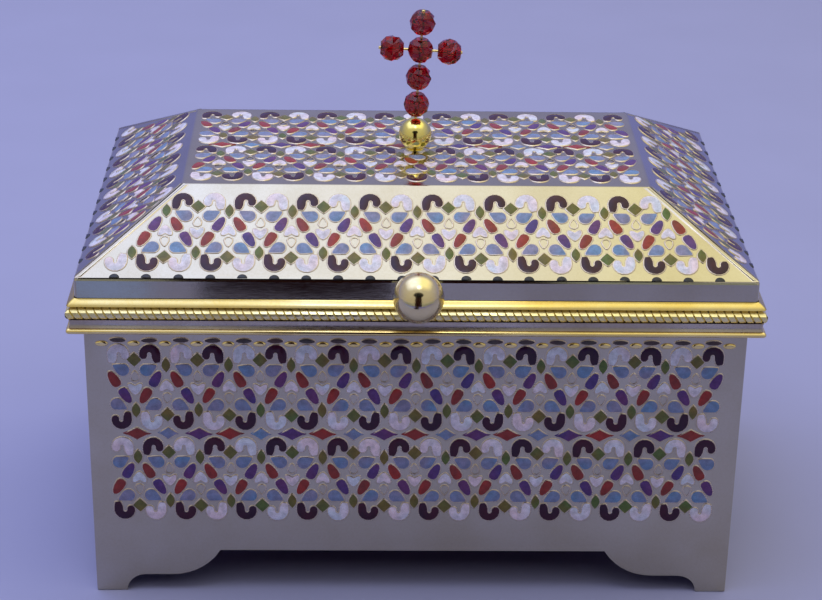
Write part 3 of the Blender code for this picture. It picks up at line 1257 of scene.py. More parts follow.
@dataclass(frozen=True)
class Band:
    """A band of upright and inverted hearts along a face.

    Attributes:
        columns: how many curls fit along it.
        drop: where its upper edge lies below the panel's upper edge.
        starts_with_lens: whether its left end is under an upper lens, so that
            upright hearts begin there, or half a period further on.
        left: the colour of each heart's left lobe.
        right: the colour of each heart's right lobe.
        end_margin: how far inside the band's ends a cell's middle lies.
    """

    columns: int
    drop: float
    starts_with_lens: bool
    left: Enamel
    right: Enamel
    end_margin: float = 0.4 * MM

    def cells(self) -> list[Cell]:
        """Return the band's cells.

        Returns:
            The cells, measured from the middle of the panel's upper edge.
        """
        half_length = self.columns * PERIOD / 4
        start = -half_length - (0.0 if self.starts_with_lens else PERIOD / 2)
        periods = self.columns // 2 + 2
        found = []
        for motif in upper_motifs(self.left, self.right):
            for cell in (motif, motif.glided()):
                for index in range(-1, periods):
                    moved = cell.moved(start + index * PERIOD, self.drop)
                    if abs(moved.along) < half_length - self.end_margin:
                        found.append(moved)
        return found


@dataclass
class Panel:
    """One enamelled face.

    Attributes:
        name: the face's name.
        origin: the middle of the panel's upper edge, on the metal.
        right: the direction along the bands.
        up: the direction across the bands, up the face.
        cells: the cells, along and down from the origin.
        wander: how far the maker's hand strays along and across, in millimetres.
        twist: how far it turns a cell, in degrees.
        growth: by what share it makes a cell larger or smaller.
    """

    name: str
    origin: Vector
    right: Vector
    up: Vector
    cells: list[Cell]
    wander: float = 0.07
    twist: float = 1.2
    growth: float = 0.012

    def placing(self, cell: Cell, hand: random.Random) -> Matrix:
        """Return a cell's place in the world, with a hand-made wobble.

        Args:
            cell: the cell.
            hand: the panel's own random numbers.

        Returns:
            The place, from the cell model's own.
        """
        along = cell.along + hand.gauss(0.0, self.wander) * MM
        down = cell.down + hand.gauss(0.0, self.wander) * MM
        spot = self.origin + self.right * along - self.up * down
        turn = Matrix.Rotation(math.radians(cell.turn + hand.gauss(0.0, self.twist)), 4, "Z")
        size = Matrix.Scale(1.0 + hand.gauss(0.0, self.growth), 4)
        return Matrix.Translation(spot) @ face_axes(self.right, self.up) @ turn @ size

    def wanted(self, cell: Cell, layer: Layer) -> bool:
        """Say whether a cell has this layer: studs have no enamel, notches no wire.

        Args:
            cell: the cell.
            layer: the layer.

        Returns:
            Whether it has it.
        """
        if layer is Layer.ENAMEL:
            return isinstance(cell.fill, Enamel)
        return cell.shape is not Shape.NOTCH

    def build(self, kit: CellKit) -> None:
        """Build the panel's enamel and wires as two pieces.

        Args:
            kit: the cell models.
        """
        hand = random.Random(f"{HAND_SEED} {self.name}")
        places = [self.placing(cell, hand) for cell in self.cells]
        for layer, slot in ((Layer.ENAMEL, Slot.ENAMEL), (Layer.WIRES, Slot.TRIM)):
            copies = []
            for cell, place in zip(self.cells, places):
                if self.wanted(cell, layer):
                    copies.append(kit.copy_of(cell, layer))
                    copies[-1].matrix_world = place
            hand_in(join(copies, f"{layer.value}_{self.name}"), slot)


def plain_row(count: int, down: float, *kinds: tuple[Shape, Enamel | Metal]) -> list[Cell]:
    """Return a row of cells, half a period apart.

    Args:
        count: how many cells it has.
        down: its place below the panel's upper edge.
        kinds: the outlines and fills that take turns along it.

    Returns:
        The row's cells.
    """
    cells = []
    for column in range(count):
        along = (column - (count - 1) / 2) * PERIOD / 2
        cells.append(Cell(*kinds[column % len(kinds)], along, down))
    return cells


def two_bands(columns: int, first: Enamel, second: Enamel) -> list[Cell]:
    """Return two bands of hearts with a row of lozenges between them.

    Args:
        columns: how many curls fit along the face.
        first: the colour of the curl at the upper left.
        second: the colour of the next one.

    Returns:
        The cells, measured from the middle of the upper edge.
    """
    upper = Band(columns, 0.0, True, first, second)
    lower = Band(columns, BAND_HEIGHT + BAND_GAP, False, second, first)
    red, sky = (Shape.LOZENGE, Enamel.RED), (Shape.SPARK, Enamel.SKY)
    violet = (Shape.LOZENGE, Enamel.VIOLET)
    between = plain_row(columns - 1, BAND_HEIGHT + BAND_GAP / 2, red, sky, violet)
    return upper.cells() + lower.cells() + between


@dataclass
class Casket:
    """The case: walls with enamel, floor, moulded rim and rope.

    Attributes:
        finishes: the materials.
        kit: the enamel cell models.
        wall_edge: the softened edges of the walls.
        floor_edge: the softened edges of the floor plate.
        panel_top: height of the enamel's upper edge above the floor.
        front_columns: how many curls fit along the front.
        side_columns: how many curls fit along a side.
        bars_down: place of the row of dark bars, below that edge.
        studs_down: place of the row of gold studs, below that edge.
        bead_radius: radius of the bead under the rim.
        bead_rise: how far that bead lies above the rim's foot.
        cavetto_lip: how far the hollow's edges stand out.
        cavetto_depth: how deep the hollow is.
        cavetto_height: height of the hollow above the bead.
        cavetto_gap: how far the hollow lies above the bead.
        seat_inset: how far inside the lip the rope's seat begins.
        seat_drop: how far the seat lies below the lip.
        web: how thick the metal behind the rope is.
        mitre: the rounding of the rim's corners.
        rope_pitch: the distance from strand to strand.
        rope_slant: how far a strand leans along the rope.
        rope_groove: how much thinner the rope is between strands.
        strand_sides: how many sides a strand has.
        shoulder: where a strand begins to round off, as a share of the pitch.
        shoulder_size: how much of its thickness it has there.
        flat_turn: how far up the flat on each strand faces.
        flat_reach: how far out that flat lies, as a share of the rope's radius.
    """

    finishes: Finishes
    kit: CellKit
    wall_edge: float = 0.35 * MM
    floor_edge: float = 0.2 * MM
    panel_top: float = 109.5 * MM
    front_columns: int = 20
    side_columns: int = 12
    bars_down: float = -1.05 * MM
    studs_down: float = 0.3 * MM
    bead_radius: float = 1.05 * MM
    bead_rise: float = 0.5 * MM
    cavetto_lip: float = 4.8 * MM
    cavetto_depth: float = 0.3 * MM
    cavetto_height: float = 3.4 * MM
    cavetto_gap: float = 0.1 * MM
    seat_inset: float = 0.8 * MM
    seat_drop: float = 0.5 * MM
    web: float = 1.9 * MM
    mitre: float = 0.7 * MM
    rope_pitch: float = 3.05 * MM
    rope_slant: float = 3.2 * MM
    rope_groove: float = 0.74
    strand_sides: int = 18
    shoulder: float = 0.36
    shoulder_size: float = 0.97
    flat_turn: float = math.radians(50.0)
    flat_reach: float = 0.85

    def build(self) -> None:
        """Build and dress every piece of the case."""
        dress_solid("case_walls", self.wall_edge, self.finishes.metals[Metal.SHEET])
        # the floor plate takes a dark copper colour: painted shadow that darkens the shade under
        # the case
        dress_solid("floor_plate", self.floor_edge, self.finishes.metals[Metal.COPPER])
        self.build_rim()
        self.build_rope()
        self.build_panels()

    def build_rim(self) -> None:
        """Build the rim: a bead, a hollow above it and the seat of the rope."""
        centre, half = plan_of("case_walls")
        low, high = box_of("case_rim")
        reach = high.x - centre.x - half[0]
        bottom, top = low.z + self.bead_rise, high.z
        bead_place = (reach - self.bead_radius, bottom + self.bead_radius)
        profile = [(GAP, bottom)] + arc(self.bead_radius, -90.0, 110.0, 12, bead_place)
        hollow_bottom = bottom + 2 * self.bead_radius + self.cavetto_gap
        hollow_top = hollow_bottom + self.cavetto_height
        lip = self.cavetto_lip
        profile.append((lip, hollow_bottom))
        hollow_steps = 10
        for step in range(1, hollow_steps):
            share = step / hollow_steps
            dip = self.cavetto_depth * math.sin(math.pi * share)
            profile.append((lip - dip, hollow_bottom + self.cavetto_height * share))
        seat = hollow_top - self.seat_drop
        profile += [(lip, hollow_top), (lip - self.seat_inset / 2, hollow_top)]
        profile += [(lip - self.seat_inset, seat), (self.web, seat), (self.web, top), (GAP, top)]
        rim = swept_frame("rim_moulding", centre, half, profile, self.mitre)
        dress(rim, self.finishes.metals[Metal.TRIM], self.finishes.metals[Metal.SHADE])
        # faces inside the hollow take the darker gilt: painted shade in the recess
        edge = 0.1 * MM
        for face in rim.data.polygons:
            inside = hollow_bottom + edge < face.center.z < hollow_top - edge
            face.material_index = 1 if inside else 0
        smooth(rim, 35.0)
        hand_in(rim, Slot.TRIM, "case_rim")

    def strand(self, place: Vector, radius: float, back: float) -> Piece:
        """Model one slanting strand of the rope.

        Args:
            place: the middle of the strand.
            radius: the rope's radius.
            back: how far in front of the wall the rope's flat back lies.

        Returns:
            The strand, along X, with its round side towards -Y.
        """
        deselect_all()
        bpy.ops.mesh.primitive_cylinder_add(
            vertices=self.strand_sides,
            radius=radius,
            depth=self.rope_pitch,
            location=place,
            rotation=(0.0, math.pi / 2, 0.0),
            end_fill_type="NOTHING",
        )
        item = bpy.context.object
        settle(item)
        for share in (-self.shoulder, self.shoulder):
            edit_all(item)
            spot = (place.x + share * self.rope_pitch, 0.0, 0.0)
            bpy.ops.mesh.bisect(plane_co=spot, plane_no=(1.0, 0.0, 0.0))
            leave_edit()
        tolerance = 0.02 * MM
        for share, size in ((0.5, self.rope_groove), (self.shoulder, self.shoulder_size)):
            distance = share * self.rope_pitch
            edit_where(
                item, Part.VERTEX, lambda spot: abs(abs(spot.x - place.x) - distance) < tolerance
            )
            bpy.ops.transform.resize(value=(1.0, size, size), center_override=place)
            leave_edit()
        facing = Vector((0.0, -math.cos(self.flat_turn), math.sin(self.flat_turn)))
        cut(item, place + facing * radius * self.flat_reach, facing, True)
        cut(item, Vector((0.0, -back, 0.0)), Vector((0.0, 1.0, 0.0)), False)
        lean = Matrix.Identity(4)
        lean[0][2] = -self.rope_slant / (2 * radius)
        lean[0][3] = -lean[0][2] * place.z
        item.data.transform(lean)
        return item

    def build_rope(self) -> None:
        """Lay the rope round the case in four mitred runs."""
        centre, half = plan_of("case_walls")
        low, high = box_of("rope_moulding")
        radius = (high.z - low.z) / 2
        reach = high.x - centre.x - half[0]
        place = Vector((0.0, radius - reach, (low.z + high.z) / 2))
        strand = self.strand(place, radius, self.web + GAP)
        runs = []
        for name, turn, is_long in sides():
            along, across = half if is_long else half[::-1]
            count = round(2 * (along + reach) / self.rope_pitch) + 4
            copies = []
            for index in range(count):
                copy = own_copy(strand)
                copy.location.x = (index - (count - 1) / 2) * self.rope_pitch
                copies.append(copy)
            run = join(copies, f"rope_run_{name}")
            tidy_surface(run, 0.01 * MM)
            for sign in (1.0, -1.0):
                cut(run, Vector((sign * along, 0.0, 0.0)), Vector((sign, 1.0, 0.0)), True)
            shift = Matrix.Translation((centre.x, centre.y, 0.0))
            run.data.transform(shift @ turn.to_4x4() @ Matrix.Translation((0.0, -across, 0.0)))
            runs.append(run)
        bpy.data.objects.remove(strand, do_unlink=True)
        rope = join(runs, "rope")
        dress(rope, self.finishes.metals[Metal.ROPE])
        smooth(rope, 30.0)
        hand_in(rope, Slot.TRIM, "rope_moulding")

    def build_panels(self) -> None:
        """Build the enamel on the four walls, with bars and studs over its bands."""
        centre, half = plan_of("case_walls")
        top = Vector((centre.x, centre.y, self.panel_top))
        up = Vector((0.0, 0.0, 1.0))
        for name, turn, is_long in sides():
            reach = half[1] if is_long else half[0]
            columns = self.front_columns if is_long else self.side_columns
            origin = top + turn @ Vector((0.0, -reach, 0.0))
            cells = two_bands(columns, Enamel.WHITE, Enamel.PLUM)
            cells += plain_row(columns, self.bars_down, (Shape.BAR, Enamel.UMBER))
            cells += plain_row(columns + 1, self.studs_down, (Shape.DOT, Metal.TRIM))
            Panel(f"case_{name}", origin, turn @ Vector((1.0, 0.0, 0.0)), up, cells).build(self.kit)


@dataclass
class Lid:
    """The lid: hipped shell with enamel on its slopes and top, and its rim band.

    Attributes:
        finishes: the materials.
        kit: the enamel cell models.
        slope_run: how far a slope comes in from the eave.
        slope_rise: how far it rises.
        top_margin: plain strip above the slopes' enamel.
        top_reach: how far the uppermost cells reach into that strip.
        hip_margin: plain strip along the hips.
        hip_strip: width of the raised strip along a hip, with its edges.
        strip_inset: how far the strip keeps from the hip and from its ends.
        strip_steps: how wide and how high its steps are: the edge in painted
        shade, the side and the rounding.
        fold_edge: how widely the sheet's folds are rounded.
        notches_down: place of the dark half rounds, below the slopes' bands.
        band_edge: the softened lower corner of the band under the lid.
        band_bulge: how far that band's sloping face swells.
        mitre: the rounding of that band's corners.
        top_columns: how many curls fit along the flat top.
    """

    finishes: Finishes
    kit: CellKit
    slope_run: float = 38.0 * MM
    slope_rise: float = 22.8 * MM
    top_margin: float = 3.8 * MM
    top_reach: float = 1.6 * MM
    hip_margin: float = 1.8 * MM
    hip_strip: float = 1.9 * MM
    strip_inset: float = 0.35 * MM
    strip_steps: tuple[tuple[float, float], ...] = (
        (0.42 * MM, 0.04 * MM),
        (0.12 * MM, 0.16 * MM),
        (0.25 * MM, 0.06 * MM),
    )
    fold_edge: float = 1.0 * MM
    notches_down: float = 1.4 * MM
    band_edge: float = 0.3 * MM
    band_bulge: float = 0.25 * MM
    mitre: float = 0.8 * MM
    top_columns: int = 15

    def build(self) -> None:
        """Build and dress every piece of the lid."""
        dress_solid("lid_shell", self.fold_edge, self.finishes.metals[Metal.SHEET])
        self.build_rim()
        self.build_hips()
        self.build_panels()

    def build_rim(self) -> None:
        """Build the sloping band at the lid's lower edge."""
        top, half = plan_of("lid_shell")
        low, high = box_of("lid_rim")
        reach = high.x - top.x - half[0]
        foot = Vector((reach, low.z + self.band_edge))
        head = Vector((GAP, high.z))
        outward = Vector((head.y - foot.y, foot.x - head.x)).normalized()
        profile = [(GAP, low.z), (reach - self.band_edge, low.z)]
        steps = 8
        for step in range(steps + 1):
            share = step / steps
            swell = self.band_bulge * 4.0 * share * (1.0 - share)
            place = foot.lerp(head, share) + outward * swell
            profile.append((min(place.x, reach), min(place.y, high.z)))
        rim = swept_frame("lid_band", top, half, profile, self.mitre)
        # the band's darker gilt is painted shade that dims its reflections
        dress(rim, self.finishes.metals[Metal.BAND])
        smooth(rim, 35.0)
        hand_in(rim, Slot.TRIM, "lid_rim")

    def slopes(self) -> list[tuple[str, Vector, Vector, Vector, float]]:
        """Describe the four slopes.

        Returns:
            Each slope's name, the middle of its upper edge, its directions to
            the right and up, and half the length of its upper edge.
        """
        top, half = plan_of("lid_shell")
        found = []
        for name, turn, is_long in sides():
            length, depth = half if is_long else half[::-1]
            origin = top + turn @ Vector((0.0, self.slope_run - depth, 0.0))
            right = turn @ Vector((1.0, 0.0, 0.0))
            up = (turn @ Vector((0.0, self.slope_run, self.slope_rise))).normalized()
            found.append((f"lid_{name}", origin, right, up, length - self.slope_run))
        return found

    def hip_piece(self, half_top: float, sign: float) -> Piece:
        """Model the raised strip at one end of a slope, with its edges in painted shade.

        Args:
            half_top: half the length of the slope's upper edge.
            sign: 1 for the slope's right end, -1 for its left end.

        Returns:
            The strip, measured from the middle of the slope's upper edge.
        """
        length = math.hypot(self.slope_run, self.slope_rise)
        width = self.hip_strip * math.hypot(length, self.slope_run) / length
        upper, lower = self.strip_inset, length - self.strip_inset
        high = half_top - self.strip_inset
        low = half_top + self.slope_run - self.strip_inset
        corners = [(high, upper), (high - width, upper), (low - width, lower), (low, lower)]
        corners = [(sign * along, -down) for along, down in corners]
        if sign < 0.0:
            corners.reverse()
        strip = polygon("hip", corners)
        edit_all(strip)
        # the ring outside the first step takes the darker gilt: a painted shade line along the hip
        for number, (width, height) in enumerate(self.strip_steps):
            bpy.ops.mesh.inset(thickness=width, depth=height)
            if number == 0:
                leave_edit()
                dress(strip, self.finishes.metals[Metal.SHEET], self.finishes.metals[Metal.SHADE])
                for face in strip.data.polygons:
                    face.material_index = 0 if face.select else 1
                bpy.ops.object.mode_set(mode="EDIT")
        leave_edit()
        return strip

    def build_hips(self) -> None:
        """Lay a narrow raised strip with edges in painted shade along both sides of every hip."""
        strips = []
        for _, origin, right, up, half_top in self.slopes():
            for sign in (-1.0, 1.0):
                strip = self.hip_piece(half_top, sign)
                strip.matrix_world = Matrix.Translation(origin) @ face_axes(right, up)
                strips.append(strip)
        hips = join(strips, "hip_strips")
        smooth(hips, 50.0)
        hand_in(hips, Slot.TRIM)

    def slope_cells(self, half_top: float) -> list[Cell]:
        """Choose the cells that fit on a slope.

        Args:
            half_top: half the length of its upper edge.

        Returns:
            The cells, measured from the middle of that edge.
        """
        reaches = {Shape.CURL: 4.2, Shape.HEART: 2.6, Shape.STAR: 2.2}
        reaches.update({Shape.LENS: 1.4, Shape.NOTCH: 1.2})
        other_reach = 2.3
        length = math.hypot(self.slope_run, self.slope_rise)
        columns = 4 * math.ceil((half_top + self.slope_run) / PERIOD)
        found = Band(columns, 0.0, True, Enamel.PLUM, Enamel.WHITE).cells()
        found += plain_row(columns, BAND_HEIGHT + self.notches_down, (Shape.NOTCH, Enamel.PINE))
        kept = []
        for cell in found:
            reach = reaches.get(cell.shape, other_reach) * MM
            higher = max(0.0, cell.down + self.top_margin - self.top_reach)
            half_width = half_top + self.slope_run * higher / length
            if abs(cell.along) + reach < half_width - self.hip_margin:
                kept.append(cell.moved(0.0, self.top_margin))
        return kept

    def build_panels(self) -> None:
        """Build the enamel on the four slopes and the flat top."""
        for name, origin, right, up, half_top in self.slopes():
            Panel(name, origin, right, up, self.slope_cells(half_top)).build(self.kit)
        top, _ = plan_of("lid_shell")
        right, up = Vector((1.0, 0.0, 0.0)), Vector((0.0, 1.0, 0.0))
        origin = top + up * (BAND_HEIGHT + BAND_GAP / 2)
        cells = two_bands(self.top_columns, Enamel.PLUM, Enamel.WHITE)
        Panel("lid_top", origin, right, up, cells).build(self.kit)


@dataclass
class FrontKnob:
    """The ball that lifts the lid, on a short thin neck with a small collar.

    Attributes:
        finishes: the materials.
        collar_radius: radius of the collar against the lid.
        collar_bevel: the softened edge of the collar.
        collar_steps: heights where the collar's edge begins and ends.
        neck_radius: radius of the neck.
        neck_steps: heights where the neck begins and ends.
        steps: how many sides the turning has.
    """

    finishes: Finishes
    collar_radius: float = 1.7 * MM
    collar_bevel: float = 0.15 * MM
    collar_steps: tuple[float, float] = (0.4 * MM, 0.6 * MM)
    neck_radius: float = 1.4 * MM
    neck_steps: tuple[float, float] = (0.7 * MM, 1.2 * MM)
    steps: int = 72

    def build(self) -> None:
        """Turn the knob and set it against the lid's front."""
        low, high = box_of("front_knob")
        radius = (high.x - low.x) / 2
        centre = high.y - low.y - radius
        start = math.degrees(math.asin(self.neck_radius / radius))
        profile = [
            (0.0, 0.0),
            (self.collar_radius, 0.0),
            (self.collar_radius, self.collar_steps[0]),
            (self.collar_radius - self.collar_bevel, self.collar_steps[1]),
            (self.neck_radius, self.neck_steps[0]),
            (self.neck_radius, self.neck_steps[1]),
        ]
        ball = arc(radius, start - 90.0, 90.0, 36, (0.0, centre))
        profile += [(max(0.0, x), y) for x, y in ball]
        knob = turned("knob", profile, self.steps)
        facing = Matrix.Rotation(math.pi / 2, 4, "X")
        middle = (low + high) / 2
        knob.data.transform(Matrix.Translation((middle.x, high.y, middle.z)) @ facing)
        # the knob's darker gilt is painted shade that dims its reflections
        dress(knob, self.finishes.metals[Metal.KNOB])
        smooth(knob)
        hand_in(knob, Slot.TRIM, "front_knob")


@dataclass
class Finial:
    """The small ball on the lid that carries the cross.

    Attributes:
        finishes: the materials.
        foot_radius: radius of its foot.
        foot_height: height of its foot.
        foot_bevel: the softened edge of the foot.
        foot_inset: how far inside the foot the ball meets it.
        steps: how many sides the turning has.
    """

    finishes: Finishes
    foot_radius: float = 3.7 * MM
    foot_height: float = 0.55 * MM
    foot_bevel: float = 0.2 * MM
    foot_inset: float = 0.5 * MM
    steps: int = 64

    def build(self) -> None:
        """Turn the ball on its foot."""
        low, high = box_of("finial_ball")
        radius = (high.x - low.x) / 2
        centre = high.z - low.z - radius
        start = -math.degrees(math.acos((self.foot_radius - self.foot_inset) / radius))
        profile = [
            (0.0, 0.0),
            (self.foot_radius, 0.0),
            (self.foot_radius, self.foot_height * 0.6),
            (self.foot_radius - self.foot_bevel, self.foot_height),
        ]
        profile += [(max(0.0, x), y) for x, y in arc(radius, start, 90.0, 30, (0.0, centre))]
        ball = turned("finial", profile, self.steps)
        middle = (low + high) / 2
        ball.data.transform(Matrix.Translation((middle.x, middle.y, low.z)))
        dress(ball, self.finishes.metals[Metal.BRASS])
        smooth(ball)
        hand_in(ball, Slot.TRIM, "finial_ball")


@dataclass
class BeadCross:
    """The leaning cross of six faceted beads on crossed wires.

    Attributes:
        finishes: the materials.
        bead_radius: radius of a bead over its corners.
        bore_radius: radius of a bead's hole.
        worn_edge: the width of a bead's worn edges.
        first_turn: how far the first bead is turned on its wire, in degrees.
        next_turn: how much further each next bead is turned.
        wire_radius: radius of the wires.
        wire_below: how far the stem's wire goes below the lowest bead.
        tip_radius: radius of the rivet head on a wire's end.
        tip_share: its height as a share of its radius.
    """

    finishes: Finishes
    bead_radius: float = 5.22 * MM
    bore_radius: float = 0.75 * MM
    worn_edge: float = 0.09 * MM
    first_turn: float = 11.0
    next_turn: float = 23.0
    wire_radius: float = 0.5 * MM
    wire_below: float = 3.2 * MM
    tip_radius: float = 0.8 * MM
    tip_share: float = 0.8

    def build(self) -> None:
        """Build the beads and the wires."""
        self.build_beads()
        self.build_wires()

    def middle(self, spot: str) -> Vector:
        """Return the middle of one bead."""
        low, high = box_of(f"cross_bead_{spot}")
        return (low + high) / 2

    def lean(self) -> Matrix:
        """Return the turn from upright to the cross's leaning stem."""
        stem = self.middle("top") - self.middle("foot")
        return Vector((0.0, 0.0, 1.0)).rotation_difference(stem).to_matrix().to_4x4()

    def bead_model(self) -> Piece:
        """Model a faceted bead with a hole through it, along Z.

        Returns:
            The bead, about the world's origin.
        """
        deselect_all()
        meridians, rings = 8, 6
        bpy.ops.mesh.primitive_uv_sphere_add(
            segments=meridians, ring_count=rings, radius=self.bead_radius
        )
        item = bpy.context.object
        origin, tolerance = (0.0, 0.0, 0.0), 0.05 * MM
        for ring in (2, 4):
            height = self.bead_radius * math.cos(ring * math.pi / rings)
            edit_where(item, Part.VERTEX, lambda spot: abs(spot.z - height) < tolerance)
            half_facet = math.pi / meridians
            bpy.ops.transform.rotate(value=half_facet, orient_axis="Z", center_override=origin)
            leave_edit()
        edit_where(item, Part.VERTEX, lambda spot: abs(spot.z) > self.bead_radius * 0.99)
        bpy.ops.mesh.delete(type="VERT")
        leave_edit()
        edit_all(item)
        bpy.ops.mesh.convex_hull(join_triangles=True, face_threshold=0.01, shape_threshold=0.01)
        bpy.ops.mesh.dissolve_limited(angle_limit=math.radians(2.0))
        bpy.ops.mesh.normals_make_consistent(inside=False)
        leave_edit()
        edit_where(item, Part.FACE, lambda normal: abs(normal.z) > 0.99)
        table = self.bead_radius * math.sin(math.pi / rings)
        bpy.ops.mesh.inset(thickness=(table - self.bore_radius) * 0.95)
        bpy.ops.mesh.bridge_edge_loops()
        leave_edit()
        bevel = item.modifiers.new("Worn facets", "BEVEL")
        bevel.width = self.worn_edge
        bevel.segments = 1
        bevel.limit_method = "ANGLE"
        bevel.angle_limit = math.radians(8.0)
        select_only(item)
        bpy.ops.object.modifier_apply(modifier=bevel.name)
        return item

    def build_beads(self) -> None:
        """Thread a bead at every place of the cross."""
        model = self.bead_model()
        lean = self.lean()
        for number, spot in enumerate(("foot", "stem", "centre", "top", "left", "right")):
            bead = own_copy(model)
            bead.name = f"glass_bead_{spot}"
            turn = Matrix.Rotation(math.radians(self.first_turn + self.next_turn * number), 4, "Z")
            if spot in ("left", "right"):
                turn = Matrix.Rotation(math.pi / 2, 4, "Y") @ turn
            bead.data.transform(Matrix.Translation(self.middle(spot)) @ lean @ turn)
            dress(bead, self.finishes.glass)
            hand_in(bead, Slot.GLASS, f"cross_bead_{spot}")
        bpy.data.objects.remove(model, do_unlink=True)

    def wire(self, start: Vector, end: Vector, heads: tuple[bool, bool]) -> list[Piece]:
        """Model a straight wire with rivet heads.

        Args:
            start: its first end.
            end: its other end.
            heads: whether each end has a head.

        Returns:
            The wire and its heads.
        """
        run = end - start
        turn = Vector((0.0, 0.0, 1.0)).rotation_difference(run).to_matrix().to_4x4()
        deselect_all()
        bpy.ops.mesh.primitive_cylinder_add(vertices=20, radius=self.wire_radius, depth=run.length)
        wire = bpy.context.object
        wire.matrix_world = Matrix.Translation((start + end) / 2) @ turn
        items = [wire]
        for wanted, place, side in ((heads[0], start, math.pi), (heads[1], end, 0.0)):
            if not wanted:
                continue
            height = self.tip_radius * self.tip_share
            quarter = arc(self.tip_radius, 0.0, 90.0, 6)
            dome = [(0.0, 0.0)] + [(max(0.0, x), y * self.tip_share) for x, y in quarter]
            head = turned("head", [(x, y - height) for x, y in dome], 20)
            head.matrix_world = Matrix.Translation(place) @ turn @ Matrix.Rotation(side, 4, "X")
            items.append(head)
        return items

    def build_wires(self) -> None:
        """Build the upright wire and the cross wire."""
        lean = self.lean().to_3x3()
        up = lean @ Vector((0.0, 0.0, 1.0))
        across = lean @ Vector((1.0, 0.0, 0.0))
        foot = self.middle("foot") - up * (self.bead_radius + self.wire_below)
        top = self.middle("top") + up * self.bead_radius
        left = self.middle("left") - across * self.bead_radius
        right = self.middle("right") + across * self.bead_radius
        items = self.wire(foot, top, (False, True)) + self.wire(left, right, (True, True))
        wires = join(items, "cross_wires")
        dress(wires, self.finishes.metals[Metal.TRIM])
        smooth(wires)
        hand_in(wires, Slot.TRIM, "cross_wire")


# ---------------------------------------------------------------- studio


@dataclass(frozen=True)
class Softbox:
    """A soft lamp: cool on the left, warm on the right, soft at its edges.

    Attributes:
        name: the lamp's name.
        place: its middle.
        tilt: how far it is turned from straight down towards the back, in degrees.
        size: its width and depth.
        glow: its brightness.
        core: how much of each side is at full brightness.
        cool: its colour and brightness on the left.
        middle: the same in its middle.
        warm: the same on the right.
        turn_width: half the width over which it turns from cool to warm.
    """

    name: str
    place: Place
    tilt: float
    size: tuple[float, float]
    glow: float
    core: float
    cool: Colour = (0.82, 1.00, 1.72)
    middle: Colour = (0.85, 0.90, 1.02)
    warm: Colour = (0.74, 0.70, 0.28)
    turn_width: float = 0.21

    def hang(self) -> None:
        """Add the lamp to the scene."""
        data = bpy.data.lights.new(self.name, "AREA")
        data.shape = "RECTANGLE"
        data.size, data.size_y = self.size
        data.energy = self.glow * math.pi * self.size[0] * self.size[1]
        data.use_nodes = True
        wires = Wiring(data.node_tree)
        spot = wires.add("ShaderNodeNewGeometry").outputs["Parametric"]
        parts = wires.add("ShaderNodeSeparateXYZ")
        wires.link(spot, parts.inputs["Vector"])
        across, along = parts.outputs["X"], parts.outputs["Y"]
        tint = wires.add("ShaderNodeValToRGB")
        reach = self.turn_width / self.size[0]
        wires.link(wires.spread(across, 0.5 - reach, 0.5 + reach), tint.inputs["Fac"])
        stops = tint.color_ramp.elements
        stops[0].position, stops[0].color = 0.0, (*self.cool, 1.0)
        stops[1].position, stops[1].color = 1.0, (*self.warm, 1.0)
        stops.new(0.5).color = (*self.middle, 1.0)
        fades = []
        for side in (across, along):
            from_middle = wires.math("ABSOLUTE", wires.math("SUBTRACT", side, 0.5), 0.0)
            fades.append(wires.spread(from_middle, 0.5, self.core / 2))
        emission = data.node_tree.nodes["Emission"]
        wires.link(tint.outputs["Color"], emission.inputs["Color"])
        wires.link(wires.math("MULTIPLY", *fades), emission.inputs["Strength"])
        lamp = bpy.data.objects.new(self.name, data)
        bpy.context.scene.collection.objects.link(lamp)
        turn = Matrix.Rotation(math.radians(self.tilt), 4, "X")
        lamp.matrix_world = Matrix.Translation(self.place) @ turn


@dataclass(frozen=True)
class Card:
    """A studio card that only reflections show, or that only shades.

    Attributes:
        name: its name.
        place: its middle.
        size: its width and its height or depth.
        colour: its colour.
        upright: whether it stands up and faces the case, or lies flat.
        corners: how many corners it has.
        mirrored: whether metal reflects it; if not, it keeps light from dull surfaces.
        hem: the width of its border.
    """

    name: str
    place: Place
    size: tuple[float, float]
    colour: Colour
    upright: bool = False
    corners: int = 4
    mirrored: bool = True
    hem: float = 0.02

    def stand(self) -> None:
        """Add the card to the scene and mark it as not part of the tabernacle."""
        deselect_all()
        square = self.corners == 4
        radius = math.sqrt(0.5) if square else 0.5
        bpy.ops.mesh.primitive_circle_add(vertices=self.corners, radius=radius, fill_type="NGON")
        card = bpy.context.object
        card.name = self.name
        if square:
            edit_all(card)
            origin = (0.0, 0.0, 0.0)
            bpy.ops.transform.rotate(value=math.pi / 4, orient_axis="Z", center_override=origin)
            leave_edit()
        card.location = self.place
        card.rotation_euler = (math.pi / 2 if self.upright else 0.0, 0.0, 0.0)
        card.scale = (self.size[0], self.size[1], 1.0)
        settle(card)
        edit_all(card)
        bpy.ops.mesh.inset(thickness=self.hem)
        leave_edit()
        dress(card, DullFinish(f"{self.name}_paint", self.colour).build())
        card.visible_camera = False
        card.visible_glossy = self.mirrored
        card.visible_diffuse = not self.mirrored
        card.visible_shadow = not self.mirrored
        card.visible_transmission = False
        card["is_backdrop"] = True


BLACK = (0.01, 0.01, 0.01)
SOFTBOXES = (
    Softbox("overhead", (0.03, 0.2, 1.25), 0.0, (2.9, 1.9), 1.0, 0.44),
    Softbox("key", (0.03, -0.42, 1.235), 16.7, (0.36, 0.36), 3.4, 0.45),
)
